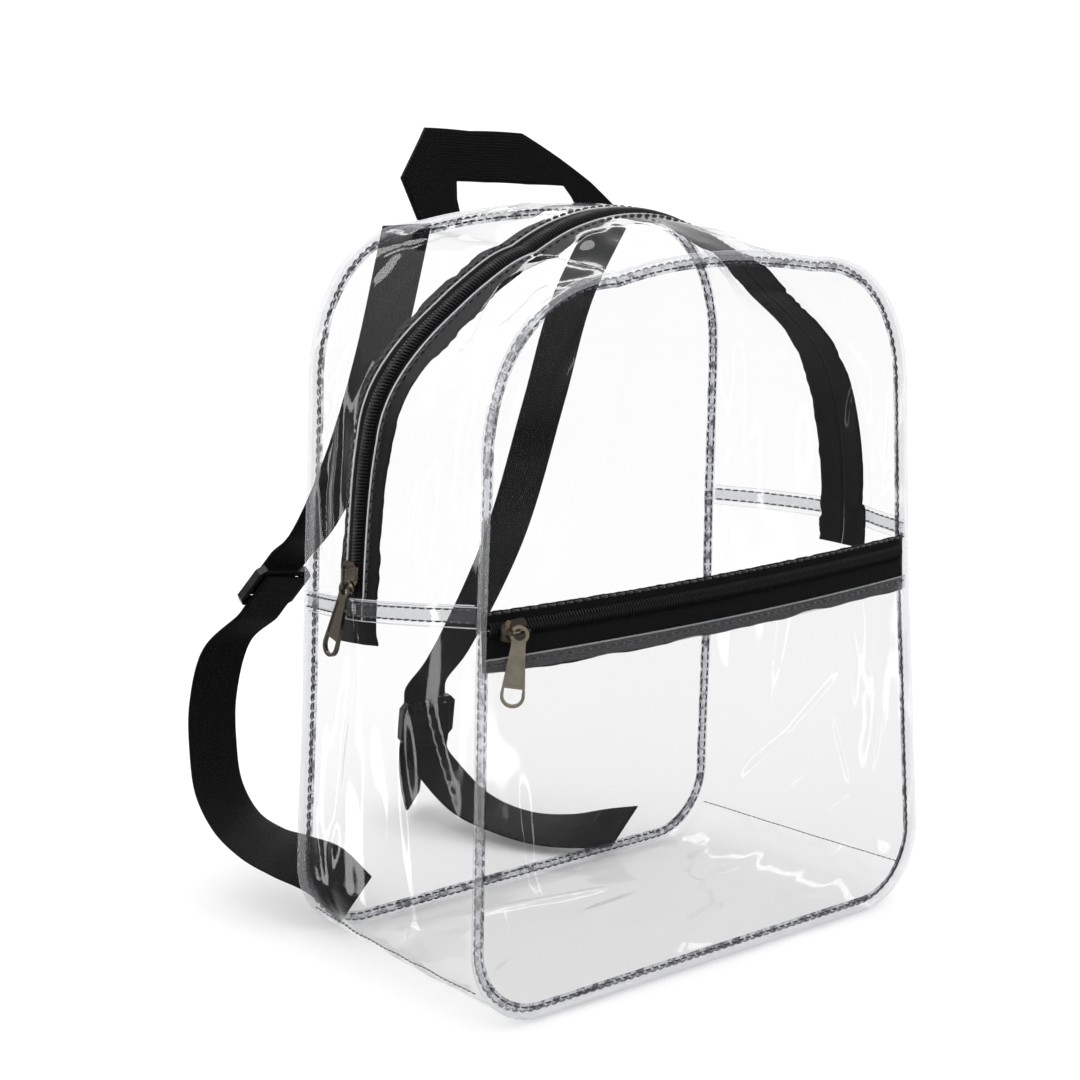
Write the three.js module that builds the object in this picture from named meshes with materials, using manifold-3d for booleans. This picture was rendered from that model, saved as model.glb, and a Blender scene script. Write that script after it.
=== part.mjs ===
// Clear film backpack with two zips and black webbing.
// Millimetres, +Z up, front faces -Y. The origin is the middle of the flat bottom.
import * as THREE from 'three';
import { mergeVertices } from 'three/addons/utils/BufferGeometryUtils.js';
import Module from 'manifold-3d';

const wasm = await Module();
wasm.setup();

// Driving dimensions of the bag
const FRONT_HALF_BOTTOM = 125;
const FRONT_HALF_TOP = 115;
const FRONT_HEIGHT = 298;
const BACK_HALF_BOTTOM = 118;
const BACK_HALF_TOP = 113;
const BACK_HEIGHT = 312;
const HALF_DEPTH = 60.5;
const FRONT_CORNER_WIDTH = 54;
const FRONT_CORNER_HEIGHT = 60;
const BACK_CORNER_WIDTH = 54;
const BACK_CORNER_HEIGHT = 68;
const BOTTOM_CORNER = 32;
const LEFT_CORNER_SHARE = 1.25;
const CROWN_DROP = 5;
const CORNER_POWER = 2.25;
const FILM = 1;
const GAP = 0.3;
const LAYER_GAP = 0.45;
const PIPING_RADIUS = 2;

// Bulges of the film, outwards from the straight line between its seams
const GUSSET_BULGE = 10;
const GUSSET_DENT_REACH = 0.18;
const FRONT_BULGE = 9;
const BACK_BULGE = 4;
const BACK_FULLEST = 0.45;

// Film beside the front zip stays smooth over ZIP_HOLDS, and dents return over DENT_FADE
const ZIP_HOLDS = 20;
const DENT_FADE = 30;

// Height over which the pocket's inner wall leaves the zip and hangs straight
const DIVIDER_BEND = 30;

// Lapped seams where the lower gusset overlaps the two upper bands
const LAP = 9;
const LEFT_SEAM_FRONT = 168;
const LEFT_SEAM_BACK = 153;
const RIGHT_SEAM_FRONT = 171;
const RIGHT_SEAM_BACK = 171;

// Zips
const TAPE = 0.8;
const ZIP_OPENING = 14;
const MAIN_TAPE_WIDTH = 31;
const MAIN_TAPE_TAIL = 10;
const COIL_WIDTH = 6;
const COIL_HEIGHT = 1.8;
const FRONT_ZIP_Z = 162;
const FRONT_TAPE_ABOVE = 7;
const FRONT_TAPE_BELOW = 17.5;
const FRONT_HEM_ABOVE = 4;
const FRONT_HEM_BELOW = 11;
const FRONT_SLIDER_FROM_EDGE = 9.25;
const FRONT_SLIDER_SETTLE = 0.6;
const MAIN_SLIDER_FROM_SEAM = 8;
const COIL_END_CLEARANCE = 1.5;
const COIL_END_INSET = 2;

// Sliders and pulls
const SLIDER_LENGTH = 12;
const SLIDER_WIDTH = 9;
const SLIDER_PLATE = 1.2;
const BRIDGE_RISE = 3.3;
const BRIDGE_BAR_RADIUS = 0.7;
const BRIDGE_HALF_WINDOW = 3.6;
const BRIDGE_POST = 1.2;
const PULL_LENGTH = 33;
const PULL_WIDTH = 9.6;
const PULL_NECK = 5.6;
const PULL_THICKNESS = 1.6;
const PULL_RECESS = 0.35;
const PULL_RIM = 1.3;
const EYE_HOLE_RADIUS = 2.4;
const EYE_RIM = 1.3;
const EYE_DROP = 0.8;
const SHOULDER_DROP = 1;
const D_HOLE_RISE = 3;
const FRONT_PULL_YAW = 42;
const FRONT_PULL_LEAN = 7;
const MAIN_PULL_LEAN = 10;
const MAIN_PULL_SWING = 7;

// Webbing
const WEBBING = 25;
const WEBBING_THICKNESS = 1.6;
const HANDLE_RISE = 38;
const HANDLE_HALF_SPAN = 55;
const HANDLE_CENTRE = -3.5;
const HANDLE_LEAN = 3;
const STRAP_REACH = 100;
const TAIL_LENGTH = 38;
const ADJUSTER_WIDTH = 32;
const ADJUSTER_LENGTH = 22;
const ADJUSTER_THICKNESS = 3.5;
const ADJUSTER_RIM = 3;
const ADJUSTER_SLOT = 5;
const ADJUSTER_LEAD = 6;

// How far the two outline seams stand from the middle, in shares of HALF_DEPTH
const SEAM_DEPTHS = [
  { up: 0.0, front: 1.07, back: 1.15 },
  { up: 0.12, front: 1.06, back: 1.14 },
  { up: 0.35, front: 1.03, back: 1.06 },
  { up: 0.55, front: 1.0, back: 1.02 },
  { up: 0.75, front: 1.0, back: 0.96 },
  { up: 1.0, front: 0.98, back: 0.94 },
];

// Gusset bulge on each side of the bag, in shares of GUSSET_BULGE, and the main zip's drift off the
// middle of the gusset, in shares of half its depth. The film sags at the shoulders of the zip.
const GUSSET_SHAPE = [
  { up: 0.0, leftBulge: 0.0, leftDrift: 0.2, rightBulge: 0.0, rightDrift: -0.2 },
  { up: 0.1, leftBulge: 0.25, leftDrift: 0.2, rightBulge: 0.25, rightDrift: -0.2 },
  { up: 0.3, leftBulge: 0.9, leftDrift: 0.2, rightBulge: 0.9, rightDrift: -0.2 },
  { up: 0.55, leftBulge: 1.0, leftDrift: 0.2, rightBulge: 1.3, rightDrift: -0.26 },
  { up: 0.66, leftBulge: 1.0, leftDrift: 0.17, rightBulge: 1.4, rightDrift: -0.22 },
  { up: 0.75, leftBulge: 1.0, leftDrift: 0.1, rightBulge: 1.2, rightDrift: -0.15 },
  { up: 0.8, leftBulge: 0.8, leftDrift: 0.04, rightBulge: 0.8, rightDrift: -0.1 },
  { up: 0.86, leftBulge: 0.1, leftDrift: -0.03, rightBulge: -0.6, rightDrift: -0.05 },
  { up: 0.93, leftBulge: -0.65, leftDrift: -0.08, rightBulge: -1.5, rightDrift: -0.04 },
  { up: 0.975, leftBulge: -0.55, leftDrift: -0.1, rightBulge: -1.4, rightDrift: -0.05 },
  { up: 0.99, leftBulge: 0.45, leftDrift: -0.08, rightBulge: -0.1, rightDrift: -0.08 },
  { up: 1.0, leftBulge: 0.95, leftDrift: -0.08, rightBulge: 0.95, rightDrift: -0.08 },
];

// Soft dents and folds of the panels: place and reach in shares of the half width and the height,
// depth in shares of the panel's bulge
const PANEL_DENTS = [
  { panel: 'front', across: -0.8, up: 0.82, reachAcross: 0.16, reachUp: 0.12, depth: 0.28 },
  { panel: 'front', across: 0.62, up: 0.2, reachAcross: 0.2, reachUp: 0.05, depth: 0.27 },
  { panel: 'front', across: 0.8, up: 0.32, reachAcross: 0.07, reachUp: 0.16, depth: 0.2 },
  { panel: 'front', across: -0.55, up: 0.14, reachAcross: 0.12, reachUp: 0.09, depth: 0.24 },
  { panel: 'back', across: -0.5, up: 0.4, reachAcross: 0.1, reachUp: 0.3, depth: 0.5 },
  { panel: 'back', across: 0.45, up: 0.75, reachAcross: 0.25, reachUp: 0.08, depth: 0.5 },
];

// Shallow creases of the gusset across the bag, by height share on each side, with their depth in
// shares of GUSSET_BULGE
const GUSSET_DENTS = [
  { side: -1, up: 0.9, reach: 0.035, deep: 0.35, depth: 0.3 },
  { side: -1, up: 0.72, reach: 0.05, deep: 0.75, depth: 0.2 },
  { side: -1, up: 0.25, reach: 0.07, deep: 0.5, depth: 0.2 },
  { side: 1, up: 0.9, reach: 0.04, deep: 0.6, depth: 0.25 },
  { side: 1, up: 0.3, reach: 0.06, deep: 0.4, depth: 0.2 },
];

// Edges of the handle's webbing, from its left foot to its right foot
const HANDLE_SECTIONS = [
  { outerAcross: -1.01, outerUp: 0.0, innerAcross: -0.62, innerUp: 0.0 },
  { outerAcross: -1.18, outerUp: 0.47, innerAcross: -0.65, innerUp: 0.14 },
  { outerAcross: -0.97, outerUp: 1.0, innerAcross: -0.66, innerUp: 0.34 },
  { outerAcross: -0.54, outerUp: 0.87, innerAcross: -0.4, innerUp: 0.28 },
  { outerAcross: -0.03, outerUp: 0.79, innerAcross: 0.05, innerUp: 0.21 },
  { outerAcross: 0.37, outerUp: 0.5, innerAcross: 0.43, innerUp: 0.19 },
  { outerAcross: 0.7, outerUp: 0.25, innerAcross: 0.52, innerUp: 0.06 },
  { outerAcross: 0.97, outerUp: 0.0, innerAcross: 0.55, innerUp: 0.0 },
];

// Strap routes from the top seam to the bottom seam. Across is a share of BACK_HALF_TOP, behind of
// STRAP_REACH, up of BACK_HEIGHT, and roll is the turn of the webbing's width off level, in degrees.
const STRAP_ROUTES = {
  left: {
    upper: [
      { across: -0.553, behind: 0.0, up: 0.985, roll: 0 },
      { across: -0.6, behind: 0.15, up: 0.8, roll: 0 },
      { across: -0.66, behind: 0.28, up: 0.66, roll: 2 },
      { across: -0.73, behind: 0.43, up: 0.55, roll: 5 },
    ],
    adjuster: { across: -0.8, behind: 0.62, up: 0.463, roll: 4 },
    lower: [
      { across: -0.905, behind: 0.83, up: 0.369, roll: 0 },
      { across: -0.925, behind: 0.92, up: 0.279, roll: 0 },
      { across: -0.925, behind: 0.92, up: 0.208, roll: 0 },
      { across: -0.93, behind: 0.86, up: 0.147, roll: 4 },
      { across: -0.925, behind: 0.73, up: 0.106, roll: 8 },
      { across: -0.93, behind: 0.5, up: 0.09, roll: 20 },
      { across: -0.93, behind: 0.25, up: 0.09, roll: 34 },
      { across: -0.89, behind: 0.05, up: 0.082, roll: 43 },
      { across: -0.78, behind: 0.0, up: 0.034, roll: 45 },
    ],
  },
  right: {
    upper: [
      { across: 0.456, behind: 0.0, up: 0.985, roll: 0 },
      { across: 0.394, behind: 0.2, up: 0.856, roll: 0 },
      { across: 0.335, behind: 0.31, up: 0.705, roll: -4 },
      { across: 0.285, behind: 0.52, up: 0.484, roll: -6 },
      { across: 0.24, behind: 0.88, up: 0.28, roll: 0 },
    ],
    adjuster: { across: 0.225, behind: 1.02, up: 0.165, roll: 0 },
    lower: [
      { across: 0.245, behind: 0.95, up: 0.085, roll: 4 },
      { across: 0.275, behind: 0.72, up: 0.042, roll: 8 },
      { across: 0.32, behind: 0.44, up: 0.028, roll: 12 },
      { across: 0.39, behind: 0.2, up: 0.03, roll: 26 },
      { across: 0.5, behind: 0.05, up: 0.036, roll: 40 },
      { across: 0.62, behind: 0.0, up: 0.033, roll: 45 },
    ],
  },
};

// The spare end of the right strap: along its adjuster, then falling, in shares of TAIL_LENGTH, while
// its width turns by degrees about the strap
const TAIL_ROUTE = [
  { down: 0.0, away: 0.0, fall: 0.0, turn: 0 },
  { down: 0.24, away: 0.04, fall: 0.0, turn: 4 },
  { down: 0.1, away: 0.22, fall: 0.55, turn: 26 },
  { down: 0.1, away: 0.22, fall: 0.95, turn: 40 },
];

// Half of a slider's plate: along and across, in shares of its half length and half width
const SLIDER_SHAPE = [
  { along: -1, across: 0.72 },
  { along: -0.3, across: 1 },
  { along: 0.75, across: 1 },
  { along: 1, across: 0.5 },
];

// Faces round the tubes and steps along the ribbons
const PIPING_SIDES = 6;
const BAND_STEPS = 5;
const LOWER_STEPS = 8;
const RIBBON_STEPS = 3;
const PANEL_RINGS = [1, 0.91, 0.74, 0.48, 0.24];
const PANEL_CUT_STEPS = 10;
const MERGE_REACH = 1e-5;

const clamp = (value, low, high) => Math.min(high, Math.max(low, value));
const mix = (a, b, share) => a + (b - a) * share;
const rad = THREE.MathUtils.degToRad;
const vec = (x, y, z) => new THREE.Vector3(x, y, z);

// Reads a column of a share table at a height share, in straight steps between its rows
function column(table, name, up) {
  const share = clamp(up, 0, 1);
  for (let i = 1; i < table.length; i += 1) {
    const low = table[i - 1];
    const high = table[i];
    if (share <= high.up) {
      return mix(low[name], high[name], (share - low.up) / (high.up - low.up));
    }
  }
  return table[table.length - 1][name];
}

const frontSeamY = (z) => -HALF_DEPTH * column(SEAM_DEPTHS, 'front', z / FRONT_HEIGHT);
const backSeamY = (z) => HALF_DEPTH * column(SEAM_DEPTHS, 'back', z / BACK_HEIGHT);

const FRONT_OUTLINE = {
  halfBottom: FRONT_HALF_BOTTOM,
  halfTop: FRONT_HALF_TOP,
  height: FRONT_HEIGHT,
  cornerWidth: FRONT_CORNER_WIDTH,
  cornerHeight: FRONT_CORNER_HEIGHT,
  seamY: frontSeamY,
  laps: { left: LEFT_SEAM_FRONT, right: RIGHT_SEAM_FRONT },
  cornerShares: { left: LEFT_CORNER_SHARE, right: 1 },
};
const BACK_OUTLINE = {
  halfBottom: BACK_HALF_BOTTOM,
  halfTop: BACK_HALF_TOP,
  height: BACK_HEIGHT,
  cornerWidth: BACK_CORNER_WIDTH,
  cornerHeight: BACK_CORNER_HEIGHT,
  seamY: backSeamY,
  laps: { left: LEFT_SEAM_BACK, right: RIGHT_SEAM_BACK },
  cornerShares: { left: 1, right: 1 },
};

const BOTTOM_Z = PIPING_RADIUS + GAP;

// Station counts along each stretch of half an outline
const RUN_BOTTOM = 3;
const TURN_BOTTOM = 5;
const SIDE_LOWER = 3;
const SIDE_UPPER = 3;
const TURN_TOP = 7;
const RUN_TOP = 4;
const LAP_LOW = RUN_BOTTOM + TURN_BOTTOM + SIDE_LOWER;
const TAIL_END = LAP_LOW - 1;
const LAP_HIGH = LAP_LOW + 1;
const COIL_END = LAP_HIGH + 1;
const HALF_COUNT = COIL_END + SIDE_UPPER + TURN_TOP + RUN_TOP;

// Half an outline from the bottom middle to the top middle, as distances across and heights
function halfOutline(outline, side) {
  const lapMiddle = outline.laps[side];
  const cornerWidth = outline.cornerWidth * outline.cornerShares[side];
  const cornerHeight = outline.cornerHeight * outline.cornerShares[side];
  const springZ = outline.height - CROWN_DROP - cornerHeight;
  const cornerTopZ = BOTTOM_Z + BOTTOM_CORNER;
  const sideX = (z) => mix(outline.halfBottom, outline.halfTop, (z - cornerTopZ) / (springZ - cornerTopZ));
  const lapLow = lapMiddle - LAP / 2;
  const lapHigh = lapMiddle + LAP / 2;
  const coilEnd = lapHigh + COIL_END_CLEARANCE;
  const tailEnd = lapLow - MAIN_TAPE_TAIL;
  const points = [];
  for (let i = 0; i < RUN_BOTTOM; i += 1) {
    points.push([(outline.halfBottom - BOTTOM_CORNER) * (i / RUN_BOTTOM), BOTTOM_Z]);
  }
  for (let i = 0; i <= TURN_BOTTOM; i += 1) {
    const turn = (i / TURN_BOTTOM - 1) * (Math.PI / 2);
    points.push([
      outline.halfBottom - BOTTOM_CORNER + BOTTOM_CORNER * Math.cos(turn),
      cornerTopZ + BOTTOM_CORNER * Math.sin(turn),
    ]);
  }
  for (let i = 1; i < SIDE_LOWER; i += 1) {
    const z = mix(cornerTopZ, tailEnd, i / (SIDE_LOWER - 1));
    points.push([sideX(z), z]);
  }
  points.push([sideX(lapLow), lapLow]);
  points.push([sideX(lapHigh), lapHigh]);
  points.push([sideX(coilEnd), coilEnd]);
  for (let i = 1; i <= SIDE_UPPER; i += 1) {
    const z = mix(coilEnd, springZ, i / SIDE_UPPER);
    points.push([sideX(z), z]);
  }
  const runHalf = outline.halfTop - cornerWidth;
  for (let i = 1; i <= TURN_TOP; i += 1) {
    const turn = (i / TURN_TOP) * (Math.PI / 2);
    points.push([
      runHalf + cornerWidth * Math.max(0, Math.cos(turn)) ** (2 / CORNER_POWER),
      springZ + cornerHeight * Math.sin(turn) ** (2 / CORNER_POWER),
    ]);
  }
  for (let i = 1; i <= RUN_TOP; i += 1) {
    const x = runHalf * (1 - i / RUN_TOP);
    points.push([x, outline.height - CROWN_DROP * (x / runHalf) ** 2]);
  }
  return points;
}

// A closed outline of stations with outward normals, anticlockwise from the bottom middle seen from -Y
function wholeOutline(outline) {
  const right = halfOutline(outline, 'right');
  const left = halfOutline(outline, 'left');
  const flat = [...right];
  for (let i = left.length - 2; i > 0; i -= 1) {
    flat.push([-left[i][0], left[i][1]]);
  }
  return flat.map(([x, z], i) => {
    const before = flat[(i + flat.length - 1) % flat.length];
    const after = flat[(i + 1) % flat.length];
    const alongX = after[0] - before[0];
    const alongZ = after[1] - before[1];
    const length = Math.hypot(alongX, alongZ);
    return { x, y: outline.seamY(z), z, nx: alongZ / length, nz: -alongX / length };
  });
}

const frontLoop = wholeOutline(FRONT_OUTLINE);
const backLoop = wholeOutline(BACK_OUTLINE);
const LOOP_COUNT = frontLoop.length;
const leftStation = (station) => LOOP_COUNT - station;

// Point of the gusset at a station, a depth share from front to back, and an offset outwards
function gussetPoint(station, deep, offset) {
  const front = frontLoop[(station + LOOP_COUNT) % LOOP_COUNT];
  const back = backLoop[(station + LOOP_COUNT) % LOOP_COUNT];
  const up = mix(front.z / FRONT_HEIGHT, back.z / BACK_HEIGHT, deep);
  const side = Math.sign(front.x);
  const bulgeShare = column(GUSSET_SHAPE, side < 0 ? 'leftBulge' : 'rightBulge', up);
  let bulge = GUSSET_BULGE * bulgeShare * Math.sin(Math.PI * deep);
  for (const dent of GUSSET_DENTS) {
    if (dent.side === side) {
      const away = ((up - dent.up) / dent.reach) ** 2 + ((deep - dent.deep) / GUSSET_DENT_REACH) ** 2;
      bulge -= GUSSET_BULGE * dent.depth * Math.exp(-away) * Math.sin(Math.PI * deep);
    }
  }
  const nx = mix(front.nx, back.nx, deep);
  const nz = mix(front.nz, back.nz, deep);
  const length = Math.hypot(nx, nz);
  return vec(
    mix(front.x, back.x, deep) + (nx / length) * (bulge + offset),
    mix(front.y, back.y, deep),
    mix(front.z, back.z, deep) + (nz / length) * (bulge + offset),
  );
}

// Depth share of the main zip's middle at a station, and of a distance from it
function zipShare(station, distance) {
  const front = frontLoop[(station + LOOP_COUNT) % LOOP_COUNT];
  const back = backLoop[(station + LOOP_COUNT) % LOOP_COUNT];
  const depth = back.y - front.y;
  const drift = column(GUSSET_SHAPE, front.x < 0 ? 'leftDrift' : 'rightDrift', front.z / FRONT_HEIGHT);
  return (1 + drift) / 2 + distance / depth;
}

// Depth share of a distance behind the front seam or, if negative, before the back seam
function seamShare(station, distance) {
  const front = frontLoop[(station + LOOP_COUNT) % LOOP_COUNT];
  const back = backLoop[(station + LOOP_COUNT) % LOOP_COUNT];
  const depth = back.y - front.y;
  return distance >= 0 ? distance / depth : 1 + distance / depth;
}

// Dents of a panel at a place. They fade out beside the front zip, whose tapes hold the film smooth.
function dentDepth(panel, across, up) {
  let depth = 0;
  for (const dent of PANEL_DENTS) {
    if (dent.panel === panel) {
      const awayAcross = (across - dent.across) / dent.reachAcross;
      const awayUp = (up - dent.up) / dent.reachUp;
      depth += dent.depth * Math.exp(-(awayAcross ** 2) - awayUp ** 2);
    }
  }
  return depth;
}

// Rise of a panel over its seams, in shares of its bulge
function panelRise(across, up, fullest) {
  const sideways = 1 - clamp(Math.abs(across), 0, 1) ** 2;
  const upright = 1 - clamp(Math.abs((up - fullest) / (up > fullest ? 1 - fullest : fullest)), 0, 1) ** 2;
  return sideways * upright;
}

function frontFaceY(x, z) {
  const across = x / FRONT_HALF_BOTTOM;
  const up = z / FRONT_HEIGHT;
  const rise = panelRise(across, up, FRONT_ZIP_Z / FRONT_HEIGHT);
  const free = clamp((Math.abs(z - FRONT_ZIP_Z) - ZIP_HOLDS) / DENT_FADE, 0, 1);
  const dent = FRONT_BULGE * dentDepth('front', across, up) * Math.sqrt(rise) * free;
  return frontSeamY(z) - FILM / 2 - FRONT_BULGE * rise + dent;
}

function backFaceY(x, z) {
  const across = x / BACK_HALF_BOTTOM;
  const up = z / BACK_HEIGHT;
  const rise = panelRise(across, up, BACK_FULLEST);
  const dent = BACK_BULGE * dentDepth('back', across, up) * Math.sqrt(rise);
  return backSeamY(z) + FILM / 2 + BACK_BULGE * rise - dent;
}

// A closed geometry from points and faces, turned so that its faces point out
function solidFrom(points, faces) {
  const geometry = new THREE.BufferGeometry();
  const position = new Float32Array(points.flatMap((point) => [point.x, point.y, point.z]));
  let volume = 0;
  for (const [a, b, c] of faces) {
    volume += points[a].dot(points[b].clone().cross(points[c]));
  }
  const turned = volume < 0 ? faces.map(([a, b, c]) => [a, c, b]) : faces;
  geometry.setAttribute('position', new THREE.BufferAttribute(position, 3));
  geometry.setIndex(turned.flat());
  geometry.computeVertexNormals();
  return geometry;
}

// A slab between two grids of points. Each grid is a list of rows of equal length.
function slab(outer, inner) {
  const rows = outer.length;
  const columns = outer[0].length;
  const points = [...outer.flat(), ...inner.flat()];
  const top = (i, j) => i * columns + j;
  const under = (i, j) => rows * columns + i * columns + j;
  const faces = [];
  const quad = (a, b, c, d) => faces.push([a, b, c], [a, c, d]);
  for (let i = 0; i < rows - 1; i += 1) {
    for (let j = 0; j < columns - 1; j += 1) {
      quad(top(i, j), top(i + 1, j), top(i + 1, j + 1), top(i, j + 1));
      quad(under(i, j), under(i, j + 1), under(i + 1, j + 1), under(i + 1, j));
    }
    quad(top(i, 0), under(i, 0), under(i + 1, 0), top(i + 1, 0));
    quad(top(i, columns - 1), top(i + 1, columns - 1), under(i + 1, columns - 1), under(i, columns - 1));
  }
  for (let j = 0; j < columns - 1; j += 1) {
    quad(top(0, j), top(0, j + 1), under(0, j + 1), under(0, j));
    quad(top(rows - 1, j), under(rows - 1, j), under(rows - 1, j + 1), top(rows - 1, j + 1));
  }
  return solidFrom(points, faces);
}

// A band of the gusset between two stations, with its edges given as depth shares at each station
function gussetBand({ from, to, steps, frontEdge, backEdge, offset, thickness }) {
  const outer = [];
  const inner = [];
  for (let station = from; station <= to; station += 1) {
    const outerRow = [];
    const innerRow = [];
    for (let step = 0; step <= steps; step += 1) {
      const deep = mix(frontEdge(station), backEdge(station), step / steps);
      outerRow.push(gussetPoint(station, deep, offset));
      innerRow.push(gussetPoint(station, deep, offset - thickness));
    }
    outer.push(outerRow);
    inner.push(innerRow);
  }
  return slab(outer, inner);
}

// Offsets outwards from the piping's centre line: outer face of each layer of the gusset
const LOWER_FILM_FACE = BOTTOM_Z;
const UPPER_FILM_FACE = LOWER_FILM_FACE - FILM - GAP;
const MAIN_TAPE_FACE = UPPER_FILM_FACE - FILM - LAYER_GAP;
const MAIN_COIL_FACE = MAIN_TAPE_FACE + GAP + COIL_HEIGHT;
const SEAM_CLEARANCE = PIPING_RADIUS + GAP;

const upperFrom = LAP_LOW;
const upperTo = leftStation(LAP_LOW);

function gussetUpperFront() {
  return gussetBand({
    from: upperFrom,
    to: upperTo,
    steps: BAND_STEPS,
    frontEdge: (station) => seamShare(station, SEAM_CLEARANCE),
    backEdge: (station) => zipShare(station, -ZIP_OPENING / 2),
    offset: UPPER_FILM_FACE,
    thickness: FILM,
  });
}

function gussetUpperBack() {
  return gussetBand({
    from: upperFrom,
    to: upperTo,
    steps: BAND_STEPS,
    frontEdge: (station) => zipShare(station, ZIP_OPENING / 2),
    backEdge: (station) => seamShare(station, -SEAM_CLEARANCE),
    offset: UPPER_FILM_FACE,
    thickness: FILM,
  });
}

function gussetLower() {
  return gussetBand({
    from: -LAP_HIGH,
    to: LAP_HIGH,
    steps: LOWER_STEPS,
    frontEdge: (station) => seamShare(station, SEAM_CLEARANCE),
    backEdge: (station) => seamShare(station, -SEAM_CLEARANCE),
    offset: LOWER_FILM_FACE,
    thickness: FILM,
  });
}

function mainZipTape(side) {
  const near = (station) => zipShare(station, (side * GAP) / 2);
  const far = (station) => zipShare(station, (side * MAIN_TAPE_WIDTH) / 2);
  return gussetBand({
    from: TAIL_END,
    to: leftStation(TAIL_END),
    steps: 2,
    frontEdge: side < 0 ? far : near,
    backEdge: side < 0 ? near : far,
    offset: MAIN_TAPE_FACE,
    thickness: TAPE,
  });
}

function mainZipCoil() {
  return gussetBand({
    from: COIL_END,
    to: leftStation(COIL_END),
    steps: 1,
    frontEdge: (station) => zipShare(station, -COIL_WIDTH / 2),
    backEdge: (station) => zipShare(station, COIL_WIDTH / 2),
    offset: MAIN_COIL_FACE,
    thickness: COIL_HEIGHT,
  });
}

// Round piping along an outline seam, in the plane across the seam
function piping(loop) {
  const points = [];
  const faces = [];
  loop.forEach((station) => {
    for (let side = 0; side < PIPING_SIDES; side += 1) {
      const turn = ((side + 0.5) / PIPING_SIDES) * 2 * Math.PI;
      const out = PIPING_RADIUS * Math.cos(turn);
      const along = PIPING_RADIUS * Math.sin(turn);
      points.push(vec(station.x + station.nx * out, station.y + along, station.z + station.nz * out));
    }
  });
  const count = loop.length;
  for (let i = 0; i < count; i += 1) {
    const next = (i + 1) % count;
    for (let side = 0; side < PIPING_SIDES; side += 1) {
      const other = (side + 1) % PIPING_SIDES;
      const a = i * PIPING_SIDES + side;
      const b = i * PIPING_SIDES + other;
      const c = next * PIPING_SIDES + other;
      const d = next * PIPING_SIDES + side;
      faces.push([a, b, c], [a, c, d]);
    }
  }
  return solidFrom(points, faces);
}

// The outline loop moved inwards to a panel's edge
function panelEdge(loop) {
  return loop.map((station) => [
    station.x - station.nx * SEAM_CLEARANCE,
    station.z - station.nz * SEAM_CLEARANCE,
  ]);
}

// Part of a panel's edge between two heights, closed along the cuts
function cutEdge(edge, low, high, cutSteps) {
  const kept = [];
  const count = edge.length;
  const crossing = (a, b, z) => [mix(a[0], b[0], (z - a[1]) / (b[1] - a[1])), z];
  for (let i = 0; i < count; i += 1) {
    const a = edge[i];
    const b = edge[(i + 1) % count];
    if (a[1] > low && a[1] < high) {
      kept.push(a);
    }
    for (const z of [low, high]) {
      if ((a[1] - z) * (b[1] - z) < 0) {
        kept.push(crossing(a, b, z));
      }
    }
  }
  const loop = [];
  kept.forEach((point, i) => {
    const next = kept[(i + 1) % kept.length];
    loop.push(point);
    const onCut = point[1] === next[1] && (point[1] === low || point[1] === high);
    if (onCut) {
      for (let step = 1; step < cutSteps; step += 1) {
        loop.push([mix(point[0], next[0], step / cutSteps), point[1]]);
      }
    }
  });
  return loop;
}

// A film sheet inside a loop, whose front face is given by a height function
function filmSheet(loop, faceY, thickness) {
  const middleX = 0;
  const heights = loop.map((point) => point[1]);
  const middleZ = (Math.min(...heights) + Math.max(...heights)) / 2;
  const points = [];
  const faces = [];
  const count = loop.length;
  for (const back of [0, 1]) {
    for (const share of PANEL_RINGS) {
      for (const [x, z] of loop) {
        const px = mix(middleX, x, share);
        const pz = mix(middleZ, z, share);
        points.push(vec(px, faceY(px, pz) + back * thickness, pz));
      }
    }
    points.push(vec(middleX, faceY(middleX, middleZ) + back * thickness, middleZ));
  }
  const half = count * PANEL_RINGS.length + 1;
  const place = (back, ring, i) => back * half + ring * count + (i % count);
  const add = (back, a, b, c) => faces.push(back ? [a, c, b] : [a, b, c]);
  for (let i = 0; i < count; i += 1) {
    for (const back of [0, 1]) {
      for (let ring = 0; ring < PANEL_RINGS.length - 1; ring += 1) {
        const a = place(back, ring, i);
        const b = place(back, ring, i + 1);
        const c = place(back, ring + 1, i + 1);
        const d = place(back, ring + 1, i);
        add(back, a, b, c);
        add(back, a, c, d);
      }
      const last = PANEL_RINGS.length - 1;
      add(back, place(back, last, i), place(back, last, i + 1), back * half + half - 1);
    }
    faces.push([place(0, 0, i), place(1, 0, i), place(1, 0, i + 1)]);
    faces.push([place(0, 0, i), place(1, 0, i + 1), place(0, 0, i + 1)]);
  }
  return solidFrom(points, faces);
}

const frontEdge = panelEdge(frontLoop);
const backEdge = panelEdge(backLoop);
const UPPER_HEM_Z = FRONT_ZIP_Z + FRONT_HEM_ABOVE;
const LOWER_HEM_Z = FRONT_ZIP_Z - FRONT_HEM_BELOW;
const DIVIDER_TOP_Z = FRONT_ZIP_Z + FRONT_TAPE_ABOVE;
const TAPE_BEHIND = FILM + LAYER_GAP;
const DIVIDER_BEHIND = TAPE_BEHIND + TAPE + LAYER_GAP;
const FAR = 2 * BACK_HEIGHT;

function frontPanelUpper() {
  return filmSheet(cutEdge(frontEdge, UPPER_HEM_Z, FAR, PANEL_CUT_STEPS), frontFaceY, FILM);
}

function frontPanelLower() {
  return filmSheet(cutEdge(frontEdge, -FAR, LOWER_HEM_Z, PANEL_CUT_STEPS), frontFaceY, FILM);
}

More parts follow.
